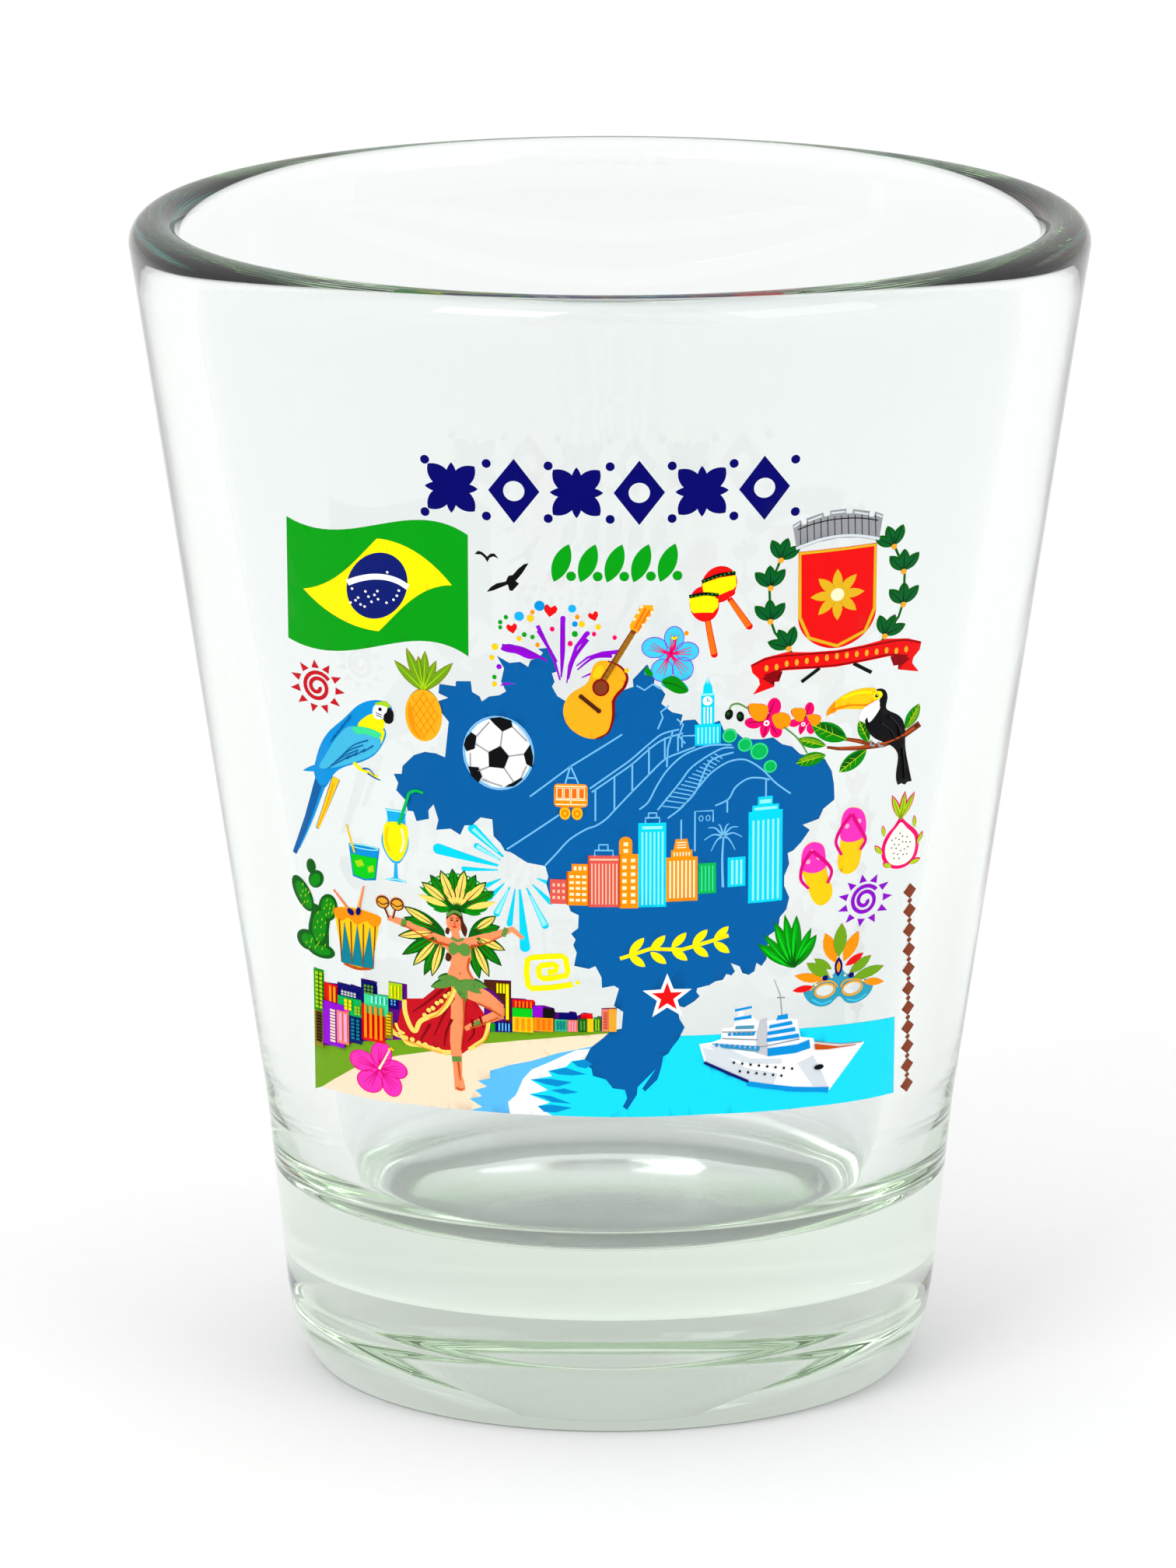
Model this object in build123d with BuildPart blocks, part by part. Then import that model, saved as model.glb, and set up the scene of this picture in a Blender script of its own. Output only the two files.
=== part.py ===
from build123d import *
from math import atan2, cos, degrees, hypot, pi, radians, sin
import os

# Souvenir shot glass: one pressed clear tumbler and the picture fired onto the front of its wall.
# Millimetres, +Z up, the origin at the centre of the foot, the picture facing -Y.

# ---- driving dimensions: the glass ----
glass_height = 60.0
rim_radius = 24.47  # outside, where the rounded rim starts
rim_wall = 2.67  # wall at the rim, which is rounded over its whole width
waist_height = 14.0  # where the wall starts to flare faster
waist_radius = 17.82
heel_height = 3.9  # top of the rounded heel
heel_radius = 16.79
foot_radius = 15.34  # outer edge of the ring that the glass stands on
heel_bulge = 0.22  # how far the heel swells past a straight bevel
floor_height = 9.2  # inside floor of the cup
floor_radius = 13.5  # inside, where wall and floor would meet
floor_fillet = 3.0
punt_radius = 12.4  # shallow hollow under the foot
punt_depth = 1.0

# ---- driving dimensions: the picture ----
film = 0.05  # fired enamel
top_margin = 8.1  # rim to the top of the picture
foot_margin = 2.7  # waist to the bottom of the picture
drawn_foot = 16.7  # the heights between which the picture is drawn
drawn_top = 51.9
drawn_side = 16.1  # how far the picture is drawn to either side
side_room = 0.93  # share of the waist radius that the picture may fill
speck = 0.03  # square mm; what is left of a print in smaller bits is not printed

# ---- worked out ----
rim_round = rim_wall / 2
rim_start = glass_height - rim_round
picture_foot = waist_height + foot_margin
picture_scale = min(
    (glass_height - top_margin - picture_foot) / (drawn_top - drawn_foot),
    side_room * waist_radius / drawn_side,
)
picture_plane = Plane(
    origin=(0, 0, picture_foot - drawn_foot * picture_scale), x_dir=(1, 0, 0), z_dir=(0, -1, 0)
)


def wall_radius(height):
    """Outside radius of the flared wall above the waist."""
    share = (height - waist_height) / (rim_start - waist_height)
    return waist_radius + (rim_radius - waist_radius) * share


# ---- the glass ----
with BuildPart() as glass_body:
    with BuildSketch(Plane.XZ):
        with BuildLine():
            Line((0, punt_depth), (0, floor_height))
            inside = Polyline(
                (0, floor_height), (floor_radius, floor_height), (rim_radius - rim_wall, rim_start)
            )
            ThreePointArc(
                inside @ 1, (rim_radius - rim_round, glass_height), (rim_radius, rim_start)
            )
            outside = Polyline(
                (rim_radius, rim_start), (waist_radius, waist_height), (heel_radius, heel_height)
            )
            heel_middle = (
                (heel_radius + foot_radius) / 2 + heel_bulge, heel_height / 2 - heel_bulge
            )
            ThreePointArc(outside @ 1, heel_middle, (foot_radius, 0))
            Line((foot_radius, 0), (punt_radius, 0))
            RadiusArc(
                (punt_radius, 0),
                (0, punt_depth),
                -(punt_radius**2 + punt_depth**2) / (2 * punt_depth),
            )
        make_face()
    revolve(axis=Axis.Z)
    corner = glass_body.edges().filter_by(GeomType.CIRCLE)
    corner = [e for e in corner if abs(e.center().Z - floor_height) < 0.01 and e.radius > 1]
    fillet(corner, radius=floor_fillet)
glass_body.part.label = "glass_body"

# The thin conical skin that every printed film is cut from.
skin_low = picture_foot - 1.5
skin_high = glass_height - top_margin + 1.5
with BuildPart() as skin:
    with BuildSketch(Plane.XZ):
        Polygon(
            (wall_radius(skin_low), skin_low),
            (wall_radius(skin_low) + film, skin_low),
            (wall_radius(skin_high) + film, skin_high),
            (wall_radius(skin_high), skin_high),
            align=None,
        )
    revolve(axis=Axis.Z)


# ---- drawing helpers: each adds one flat shape to the sketch that is open ----
def smooth(*points):
    """A closed smooth outline through the points."""
    with BuildLine() as edge:
        Spline(*points, periodic=True)
    make_face(edge.edges())


def shape(*points):
    """A closed outline with straight sides."""
    Polygon(*points, align=None)


def disc(x, y, radius):
    with Locations((x, y)):
        Circle(radius)


def oval(x, y, across, high, turn=0):
    """An ellipse by its two half sizes, turned anticlockwise in degrees."""
    with Locations((x, y)):
        Ellipse(across, high, rotation=turn)


def block(left, low, right, high):
    with Locations(((left + right) / 2, (low + high) / 2)):
        Rectangle(right - left, high - low)


def leaf(root, tip, width):
    """A pointed lens from root to tip."""
    length = hypot(tip[0] - root[0], tip[1] - root[1])
    aside = (-(tip[1] - root[1]) / length * width / 2, (tip[0] - root[0]) / length * width / 2)
    middle = ((root[0] + tip[0]) / 2, (root[1] + tip[1]) / 2)
    with BuildLine() as edge:
        ThreePointArc(root, (middle[0] + aside[0], middle[1] + aside[1]), tip)
        ThreePointArc(tip, (middle[0] - aside[0], middle[1] - aside[1]), root)
    make_face(edge.edges())


def fan(root, length, width, angles):
    """Leaves of one size from one root."""
    for angle in angles:
        tip = (root[0] + length * cos(radians(angle)), root[1] + length * sin(radians(angle)))
        leaf(root, tip, width)


def ribbon(points, width, end_width=None):
    """A stroke of even or tapering width along a line of points."""
    end_width = end_width or width
    left, right = [], []
    last = len(points) - 1
    for i, (x, y) in enumerate(points):
        before, after = points[max(i - 1, 0)], points[min(i + 1, last)]
        length = hypot(after[0] - before[0], after[1] - before[1])
        half = (width + (end_width - width) * i / last) / 2
        aside = (-(after[1] - before[1]) / length * half, (after[0] - before[0]) / length * half)
        left.append((x + aside[0], y + aside[1]))
        right.append((x - aside[0], y - aside[1]))
    Polygon(*left, *reversed(right), align=None)


def ray(centre, tip, width, gap=1.0):
    """A beam that widens away from a centre and ends round."""
    length = hypot(tip[0] - centre[0], tip[1] - centre[1])
    start = (
        centre[0] + (tip[0] - centre[0]) * gap / length,
        centre[1] + (tip[1] - centre[1]) * gap / length,
    )
    ribbon([start, tip], width * 0.2, width)
    disc(tip[0], tip[1], width / 2)


def star(x, y, radius, waist=0.42):
    points = []
    for i in range(10):
        reach = radius if i % 2 == 0 else radius * waist
        angle = pi / 2 + i * pi / 5
        points.append((x + reach * cos(angle), y + reach * sin(angle)))
    Polygon(*points, align=None)


def mirrored(line, points):
    """The points on the other side of an upright line."""
    return [(2 * line - x, y) for x, y in points]


# ---- the friezes that stand where a souvenir carries its lettering ----
def title_frieze():
    with BuildSketch() as art:
        for i in range(6):
            x = -7.75 + i * 3.06
            if i % 2 == 0:
                fan((x, 50.25), 1.62, 0.95, range(45, 360, 90))
                fan((x, 50.25), 1.3, 0.5, range(0, 360, 90))
            else:
                shape((x - 1.25, 50.25), (x, 51.9), (x + 1.25, 50.25), (x, 48.6))
                with Locations((x, 50.25)):
                    Circle(0.52, mode=Mode.SUBTRACT)
        for i in range(7):
            disc(-9.05 + i * 3.02, 51.6, 0.22)
            disc(-9.05 + i * 3.02, 48.9, 0.22)
    return art.sketch


def green_frieze():
    with BuildSketch() as art:
        for i in range(5):
            x = -2.75 + i * 1.3
            leaf((x, 45.65), (x + 0.75, 47.6), 0.85)
            disc(x + 0.85, 45.95, 0.24)
    return art.sketch


def yellow_sprig():
    with BuildSketch() as art:
        ribbon([(0.5, 25.9), (2.0, 26.4), (3.6, 26.3), (5.9, 26.9)], 0.2)
        for i in range(5):
            x = 0.95 + i * 1.05
            leaf((x, 26.15 + i * 0.13), (x + 0.75, 27.0 + i * 0.1), 0.42)
            leaf((x, 26.1 + i * 0.13), (x + 0.8, 25.45 + i * 0.13), 0.42)
    return art.sketch


def brown_border():
    with BuildSketch() as art:
        for i in range(11):
            y = 16.9 + i * 1.08
            shape((14.75, y), (15.08, y + 0.42), (15.4, y), (15.08, y - 0.42))
        for i in range(10):
            disc(15.08, 17.44 + i * 1.08, 0.11)
    return art.sketch


# ---- the flag ----
def flag_edge():
    """The waving outline of the whole flag."""
    with BuildSketch() as art:
        with BuildLine():
            top = Spline((-16.0, 47.65), (-14.3, 47.32), (-12.0, 47.78), (-9.2, 48.45), (-6.95, 47.85))
            foot = Spline((-16.0, 41.2), (-14.3, 40.93), (-12.0, 41.42), (-9.3, 42.15), (-6.95, 41.55))
            Line(top @ 0, foot @ 0)
            Line(top @ 1, foot @ 1)
        make_face()
    return art.sketch


def flag_diamond():
    with BuildSketch() as art:
        with BuildLine():
            Spline((-15.2, 44.0), (-13.75, 44.75), (-12.8, 45.65), (-11.45, 47.25))
            Spline((-11.45, 47.25), (-9.9, 46.95), (-8.9, 46.35), (-7.75, 45.2))
            Spline((-7.75, 45.2), (-9.1, 44.75), (-10.2, 43.8), (-11.4, 42.4))
            Spline((-11.4, 42.4), (-13.2, 42.7), (-14.2, 43.2), (-15.2, 44.0))
        make_face()
    return art.sketch


def flag_disc():
    with BuildSketch() as art:
        oval(-11.47, 44.78, 1.42, 1.85, -28)
    return art.sketch


def birds():
    with BuildSketch() as art:
        shape(
            (-6.62, 46.9), (-6.45, 47.08), (-6.25, 47.02), (-6.0, 46.8), (-5.85, 46.96), (-5.65, 46.98),
            (-5.45, 46.74), (-5.7, 46.84), (-5.88, 46.76), (-6.0, 46.52), (-6.12, 46.74), (-6.3, 46.9),
        )
        shape(
            (-6.02, 44.98), (-5.7, 45.08), (-5.0, 45.42), (-4.92, 45.12), (-4.78, 45.1), (-4.45, 45.48),
            (-4.62, 45.62), (-4.3, 46.02), (-3.98, 46.56), (-4.2, 46.5), (-4.5, 46.24), (-4.75, 45.92),
            (-4.97, 45.86), (-5.1, 45.56), (-5.55, 45.44), (-5.85, 45.22),
        )
    return art.sketch


# ---- fireworks ----
def firework_rays():
    with BuildSketch() as art:
        ribbon([(-2.4, 41.0), (-2.37, 42.2), (-2.3, 43.75)], 0.06, 0.26)
        disc(-2.3, 43.76, 0.13)
        ribbon([(-2.45, 40.55), (-2.7, 41.5), (-3.15, 42.5), (-3.55, 43.35)], 0.08, 0.2)
        ribbon([(-2.12, 40.4), (-2.0, 41.3), (-1.65, 42.3), (-1.12, 43.0)], 0.06, 0.24)
        disc(-1.1, 43.0, 0.12)
        ribbon([(-1.65, 41.3), (-1.1, 41.75), (-0.4, 41.98), (0.45, 42.05)], 0.05, 0.22)
        ribbon([(-1.4, 40.7), (-0.85, 40.95)], 0.04, 0.12)
        smooth(
            (-5.35, 42.1), (-5.15, 42.28), (-4.4, 42.2), (-3.5, 41.7), (-3.9, 41.6), (-4.6, 41.85),
            (-5.2, 41.95),
        )
        shape((-5.4, 40.12), (-5.2, 40.32), (-4.6, 40.3), (-5.0, 40.22))
        disc(-5.45, 41.12, 0.13)
    return art.sketch


def heart(x, y, size, turn=0):
    """A small filled heart."""
    points = [
        (0, -0.5), (0.42, -0.08), (0.5, 0.22), (0.3, 0.45), (0, 0.22), (-0.3, 0.45), (-0.5, 0.22),
        (-0.42, -0.08),
    ]
    c, s = cos(radians(turn)) * size, sin(radians(turn)) * size
    Polygon(*[(x + c * u - s * v, y + s * u + c * v) for u, v in points], align=None)


def confetti():
    with BuildSketch() as art:
        heart(-2.92, 44.15, 0.68, -8)
        heart(-4.8, 43.15, 0.55, 12)
        heart(-0.8, 43.9, 0.52, 20)
        heart(-3.45, 44.38, 0.4, -10)
        heart(-4.45, 43.8, 0.42, -25)
        heart(-1.85, 44.28, 0.32, 15)
        spots = [
            (-5.1, 43.72, 0.1), (-5.38, 43.45, 0.1), (-5.38, 43.18, 0.09), (-3.9, 43.72, 0.17),
            (-3.8, 44.04, 0.1), (-2.83, 43.2, 0.11), (-4.2, 42.86, 0.11), (-4.45, 42.64, 0.12),
            (-3.8, 42.75, 0.1), (-3.55, 42.35, 0.1), (-5.65, 42.15, 0.16), (-5.8, 41.58, 0.12),
            (-5.68, 40.57, 0.1), (-5.68, 40.2, 0.12), (-1.6, 43.85, 0.11), (-1.72, 43.48, 0.13),
            (-1.38, 43.48, 0.15), (-1.72, 42.97, 0.14), (-1.95, 42.47, 0.12), (-0.58, 43.34, 0.13),
            (-0.78, 42.98, 0.1), (0.23, 42.8, 0.1), (0.82, 41.08, 0.11), (3.75, 42.95, 0.1),
        ]
        for x, y, radius in spots:
            disc(x, y, radius)
    return art.sketch


# ---- guitar, maracas, drum ----
def guitar_body():
    with BuildSketch() as art:
        smooth(
            (-2.3, 38.9), (-2.0, 38.1), (-1.4, 37.65), (-0.7, 37.52), (-0.1, 37.85), (0.15, 38.6),
            (0.17, 39.5), (0.7, 40.2), (0.85, 40.75), (0.5, 41.3), (-0.1, 41.58), (-0.65, 41.5),
            (-0.92, 41.0), (-1.15, 40.4), (-1.8, 39.95), (-2.2, 39.45),
        )
        shape((0.95, 43.4), (1.05, 43.05), (1.35, 43.02), (2.15, 44.15), (2.1, 44.45), (1.5, 44.45))
    return art.sketch


def guitar_neck():
    with BuildSketch() as art:
        ribbon([(-0.55, 40.2), (1.18, 43.15)], 0.34, 0.28)
    return art.sketch


def maraca_heads():
    with BuildSketch() as art:
        oval(5.35, 45.4, 0.86, 0.96, -25)
        oval(4.62, 44.42, 0.72, 0.92, 10)
    return art.sketch


def maraca_handles():
    with BuildSketch() as art:
        ribbon([(5.85, 44.65), (6.3, 43.95), (6.85, 43.1)], 0.26, 0.34)
        ribbon([(4.78, 43.65), (4.9, 42.9), (5.12, 41.75)], 0.28, 0.34)
        disc(6.84, 43.13, 0.17)
        disc(5.12, 41.78, 0.17)
    return art.sketch


def drum():
    with BuildSketch() as art:
        shape((-13.85, 26.95), (-11.48, 27.0), (-11.95, 24.2), (-12.7, 24.02), (-13.4, 24.15))
        oval(-12.67, 27.0, 1.19, 0.36)
        ribbon([(-13.85, 28.12), (-12.95, 27.05)], 0.1, 0.2)
        ribbon([(-12.3, 28.65), (-12.6, 27.25)], 0.1, 0.2)
    return art.sketch


# ---- flowers ----
def hibiscus_blue():
    with BuildSketch() as art:
        oval(3.15, 42.72, 0.5, 0.62)
        oval(2.18, 42.25, 0.64, 0.55)
        oval(2.56, 41.05, 0.56, 0.6)
        oval(3.58, 41.1, 0.53, 0.62)
        oval(3.8, 42.0, 0.58, 0.5)
        disc(2.95, 41.9, 0.6)
    return art.sketch


def hibiscus_leaves():
    with BuildSketch() as art:
        smooth((2.55, 40.5), (3.05, 40.75), (3.5, 40.5), (3.85, 39.95), (3.4, 39.82), (2.9, 40.05))
        smooth((1.68, 41.05), (1.8, 41.25), (2.05, 41.0), (2.08, 40.8), (1.85, 40.8))
    return art.sketch


def hibiscus_pink():
    with BuildSketch() as art:
        oval(-11.5, 19.7, 0.55, 0.68, -12)
        oval(-12.5, 19.1, 0.65, 0.58)
        oval(-12.1, 18.05, 0.68, 0.62)
        oval(-10.98, 18.12, 0.52, 0.66, 10)
        oval(-10.8, 19.0, 0.65, 0.5, -10)
        disc(-11.62, 18.85, 0.62)
    return art.sketch


def orchid_pink():
    with BuildSketch() as art:
        oval(8.1, 38.82, 0.34, 0.46)
        oval(7.05, 38.05, 0.42, 0.28, -15)
        leaf((7.75, 38.3), (7.55, 37.2), 0.5)
        oval(8.2, 37.55, 0.3, 0.38, 15)
        disc(7.8, 38.1, 0.38)
        oval(9.86, 38.5, 0.24, 0.35)
        oval(9.1, 37.85, 0.28, 0.2)
        leaf((9.6, 38.0), (9.4, 37.2), 0.35)
        oval(9.92, 37.45, 0.2, 0.28, 15)
        disc(9.58, 37.9, 0.28)
    return art.sketch


def orchid_orange():
    with BuildSketch() as art:
        smooth((6.85, 39.02), (7.3, 39.05), (7.78, 38.85), (7.7, 38.3), (7.42, 38.1), (7.0, 38.35))
        smooth((8.0, 38.35), (8.5, 38.48), (8.9, 38.2), (8.85, 37.75), (8.5, 37.6), (8.15, 37.8))
        smooth((8.98, 38.58), (9.35, 38.62), (9.68, 38.45), (9.6, 38.0), (9.35, 37.9), (9.1, 38.1))
        smooth((9.75, 38.15), (10.1, 38.2), (10.45, 37.95), (10.3, 37.65), (10.0, 37.62))
    return art.sketch


# ---- civic style crest, with plain charges ----
crest_middle = 11.2


def crest_crown():
    half = [
        (9.15, 46.9), (8.95, 48.2), (9.35, 48.42), (9.42, 48.15), (9.68, 48.2), (9.62, 48.48),
        (10.45, 48.7), (10.5, 48.48), (10.8, 48.52), (10.8, 48.76),
    ]
    with BuildSketch() as art:
        shape(
            *half, *reversed(mirrored(crest_middle, half)), (12.2, 47.2), (crest_middle, 47.3), (10.2, 47.2)
        )
    return art.sketch


def crest_shield():
    with BuildSketch() as art:
        with BuildLine():
            Line((9.25, 46.78), (13.15, 46.78))
            Line((13.15, 46.78), (13.15, 43.35))
            Spline((13.15, 43.35), (12.68, 42.22), (crest_middle, 41.55), (9.72, 42.22), (9.25, 43.35))
            Line((9.25, 43.35), (9.25, 46.78))
        make_face()
    return art.sketch


laurel_tufts = [((8.38, 46.5), 72), ((7.88, 45.1), 92), ((7.88, 43.35), 92), ((8.8, 41.85), 118)]
laurel_stem = [(8.95, 41.55), (8.1, 42.7), (7.88, 43.4), (7.82, 45.1), (8.38, 46.5)]


def crest_laurels():
    with BuildSketch() as art:
        for root, heading in laurel_tufts:
            fan(root, 1.12, 0.56, (heading - 42, heading, heading + 42))
            twin = (2 * crest_middle - root[0], root[1])
            fan(twin, 1.12, 0.56, (180 - heading - 42, 180 - heading, 180 - heading + 42))
        ribbon(laurel_stem, 0.12)
        ribbon(mirrored(crest_middle, laurel_stem), 0.12)
    return art.sketch


def crest_ribbon():
    half = [
        (crest_middle, 41.42), (9.9, 41.48), (8.7, 41.62), (7.6, 41.42), (6.92, 41.1), (7.0, 40.7),
        (7.32, 40.35), (7.38, 40.05), (7.05, 39.55), (8.1, 39.88), (8.0, 40.12), (8.35, 40.12),
        (8.2, 40.45), (8.5, 40.68), (9.9, 40.62), (crest_middle, 40.56),
    ]
    with BuildSketch() as art:
        shape(*half, *reversed(mirrored(crest_middle, half[1:-1])))
    return art.sketch


def crest_batons():
    with BuildSketch() as art:
        ribbon([(9.45, 39.98), (10.35, 40.6)], 0.18)
        ribbon([(12.95, 39.98), (12.05, 40.6)], 0.18)
    return art.sketch


# ---- suns and spirals ----
def spiral_sun(x, y):
    """A spiral with eleven small rays."""
    turns, steps = 1.9, 40
    coil = []
    for i in range(steps + 1):
        share = i / steps
        reach = 0.12 + 0.6 * share**0.8
        angle = pi + share * turns * 2 * pi
        coil.append((x - reach * cos(angle), y + 1.12 * reach * sin(angle)))
    ribbon(coil, 0.13, 0.16)
    for i in range(11):
        angle = pi / 2 + 0.1 + i * 2 * pi / 11
        u, v = cos(angle), sin(angle)
        shape(
            (x + 0.93 * u - 0.19 * v, y + 1.0 * v + 0.19 * u),
            (x + 1.4 * u, y + 1.42 * v),
            (x + 0.93 * u + 0.19 * v, y + 1.0 * v - 0.19 * u),
        )


def sun_red():
    with BuildSketch() as art:
        spiral_sun(-14.55, 38.9)
    return art.sketch


def sun_purple():
    with BuildSketch() as art:
        spiral_sun(12.75, 27.8)
    return art.sketch


def square_spiral():
    with BuildSketch() as art:
        ribbon(
            [
                (-1.95, 24.5), (-2.9, 24.3), (-3.9, 24.18), (-4.06, 24.3), (-4.15, 25.0), (-4.1, 25.72),
                (-3.9, 25.85), (-3.1, 25.95), (-2.35, 26.0), (-2.2, 25.85), (-2.1, 25.2), (-2.15, 24.98),
                (-2.8, 24.82), (-3.3, 24.75), (-3.5, 24.85), (-3.55, 25.3), (-3.4, 25.45), (-2.8, 25.55),
                (-2.65, 25.45), (-2.68, 25.2), (-3.1, 25.08),
            ],
            0.2,
        )
    return art.sketch


# ---- birds and fruit ----
def parrot_body():
    with BuildSketch() as art:
        smooth(
            (-11.15, 38.72), (-11.9, 38.65), (-12.55, 38.25), (-13.1, 37.6), (-14.0, 36.6), (-14.5, 35.6),
            (-14.72, 34.75), (-14.72, 34.0), (-14.3, 33.55), (-13.9, 34.15), (-13.2, 34.9), (-12.4, 35.3),
            (-11.6, 35.9), (-11.2, 36.6), (-11.12, 37.2), (-11.3, 37.6), (-10.95, 37.85), (-10.75, 38.3),
        )
        leaf((-13.6, 35.0), (-15.35, 34.2), 0.34)
    return art.sketch


def parrot_tail():
    with BuildSketch() as art:
        ribbon([(-14.45, 33.9), (-15.1, 31.7), (-15.85, 29.55)], 0.55, 0.2)
    return art.sketch


def parrot_under_tail():
    with BuildSketch() as art:
        ribbon([(-13.65, 34.2), (-14.15, 32.7), (-14.65, 31.25)], 0.42, 0.16)
    return art.sketch


def pineapple_fruit():
    with BuildSketch() as art:
        oval(-9.2, 38.28, 0.9, 1.36)
    return art.sketch


def pineapple_leaves():
    with BuildSketch() as art:
        for tip, width in (
            ((-10.65, 40.98), 0.5), ((-10.05, 41.72), 0.5), ((-9.45, 41.35), 0.5), ((-9.1, 41.65), 0.5),
            ((-8.55, 41.2), 0.45), ((-7.72, 41.15), 0.5),
        ):
            leaf((-9.2, 39.5), tip, width)
    return art.sketch


def toucan_body():
    with BuildSketch() as art:
        with BuildLine():
            Spline(
                (13.2, 39.02), (13.65, 38.9), (13.78, 38.4), (13.72, 37.95), (14.25, 37.5), (14.65, 36.9),
                (14.72, 35.8), (14.88, 34.7), (15.08, 33.7),
            )
            Polyline((15.08, 33.7), (14.88, 33.72), (14.72, 33.6), (14.55, 33.72), (14.38, 33.66))
            Spline(
                (14.38, 33.66), (14.3, 34.6), (14.32, 35.4), (13.9, 35.95), (13.2, 36.4), (12.75, 37.05),
                (12.72, 37.7), (13.15, 38.0), (13.38, 38.4), (13.2, 39.02),
            )
        make_face()
    return art.sketch


def toucan_beak():
    with BuildSketch() as art:
        with BuildLine():
            Spline((13.22, 39.08), (12.3, 39.2), (11.4, 38.92), (10.85, 38.45), (10.68, 38.03))
            Spline((10.68, 38.03), (11.1, 38.22), (12.0, 38.2), (12.75, 38.12), (13.15, 38.45))
            Line((13.15, 38.45), (13.22, 39.08))
        make_face()
    return art.sketch


def toucan_throat():
    with BuildSketch() as art:
        smooth((13.3, 38.45), (13.35, 38.1), (12.95, 37.8), (12.5, 37.45), (12.38, 37.85), (12.65, 38.2))
    return art.sketch


def branch():
    with BuildSketch() as art:
        bough = [
            (10.75, 36.36), (11.3, 36.2), (12.4, 36.05), (13.6, 36.0), (14.4, 36.15), (15.45, 36.7),
        ]
        ribbon(bough, 0.12, 0.36)
        ribbon([(11.6, 36.68), (12.3, 36.45), (13.1, 36.1)], 0.16, 0.24)
    return art.sketch


def branch_leaves():
    with BuildSketch() as art:
        leaf((9.98, 37.66), (11.75, 36.62), 0.95)
        leaf((9.25, 36.98), (10.7, 36.45), 0.56)
        leaf((9.22, 35.72), (10.7, 35.95), 0.7)
        leaf((12.35, 37.5), (12.85, 36.3), 0.56)
        leaf((11.38, 34.95), (12.75, 35.9), 0.8)
        leaf((15.42, 37.78), (14.72, 36.6), 0.62)
    return art.sketch


# ---- beach goods and drinks ----
def flip_flops():
    with BuildSketch() as art:
        smooth(
            (10.1, 31.4), (10.6, 31.15), (10.75, 30.4), (10.85, 29.5), (11.1, 28.6), (10.9, 28.1),
            (10.5, 27.95), (10.1, 28.3), (9.85, 29.0), (9.6, 29.7), (9.5, 30.5), (9.65, 31.15),
        )
        smooth(
            (12.0, 32.95), (12.55, 32.7), (12.78, 32.0), (12.65, 31.1), (12.5, 30.1), (12.3, 29.6),
            (11.9, 29.4), (11.5, 29.6), (11.35, 30.3), (11.5, 31.3), (11.5, 32.2), (11.65, 32.75),
        )
    return art.sketch


def dragon_fruit():
    with BuildSketch() as art:
        smooth(
            (14.6, 31.9), (14.95, 31.4), (15.42, 30.8), (15.5, 30.1), (15.3, 29.42), (14.75, 29.1),
            (14.1, 29.22), (13.65, 29.75), (13.6, 30.5), (13.9, 31.15), (14.35, 31.65),
        )
    return art.sketch


def dragon_leaves():
    with BuildSketch() as art:
        fan((14.55, 31.75), 1.5, 0.36, (62, 82, 108))
        leaf((13.72, 31.0), (13.62, 31.65), 0.2)
        leaf((15.28, 31.1), (15.25, 31.8), 0.2)
        leaf((13.62, 30.1), (13.22, 30.65), 0.26)
        leaf((15.42, 30.2), (15.7, 30.8), 0.24)
        leaf((14.1, 29.3), (13.65, 29.6), 0.3)
        leaf((15.0, 29.22), (15.6, 29.35), 0.3)
    return art.sketch


def tumbler_drink():
    with BuildSketch() as art:
        shape((-13.05, 30.78), (-11.48, 30.8), (-11.68, 29.1), (-12.25, 28.98), (-12.85, 29.1))
        oval(-12.27, 30.78, 0.785, 0.12)
        ribbon([(-13.15, 31.8), (-12.85, 30.7)], 0.1)
    return art.sketch


def tulip_drink():
    with BuildSketch() as art:
        with BuildLine():
            Line((-11.18, 33.05), (-10.08, 33.05))
            Spline((-10.08, 33.05), (-10.15, 32.35), (-10.0, 31.4), (-10.2, 30.65), (-10.5, 30.2))
            Line((-10.5, 30.2), (-10.82, 30.2))
            Spline((-10.82, 30.2), (-11.18, 30.65), (-11.38, 31.35), (-11.1, 32.35), (-11.18, 33.05))
        make_face()
        shape(
            (-10.72, 30.25), (-10.6, 30.25), (-10.55, 29.4), (-10.1, 29.22), (-11.22, 29.22),
            (-10.78, 29.4),
        )
        ribbon([(-10.35, 32.5), (-10.1, 33.6), (-9.95, 34.05), (-9.62, 34.22), (-9.25, 34.15)], 0.14)
    return art.sketch


def cactus():
    with BuildSketch() as art:
        ribbon([(-14.7, 24.4), (-14.65, 25.8), (-14.45, 27.0)], 1.15, 0.95)
        oval(-14.15, 27.05, 0.48, 0.75, -10)
        oval(-15.45, 27.45, 0.45, 0.95, 25)
        oval(-14.75, 28.45, 0.36, 0.52, -25)
        oval(-15.0, 29.08, 0.24, 0.4)
        oval(-15.25, 24.95, 0.55, 0.55)
        oval(-14.55, 24.6, 0.72, 0.42)
    return art.sketch


def agave():
    with BuildSketch() as art:
        for tip, width in (
            ((7.35, 26.3), 0.62), ((7.62, 26.8), 0.4), ((8.18, 27.4), 0.6), ((8.7, 27.72), 0.5),
            ((9.3, 27.6), 0.6), ((10.05, 26.82), 0.45), ((10.32, 26.4), 0.62),
        ):
            leaf((9.2, 24.82), tip, width)
        smooth((9.2, 24.8), (8.3, 25.25), (8.0, 25.65), (9.2, 26.2), (10.1, 25.75), (9.6, 25.15))
    return art.sketch


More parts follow.
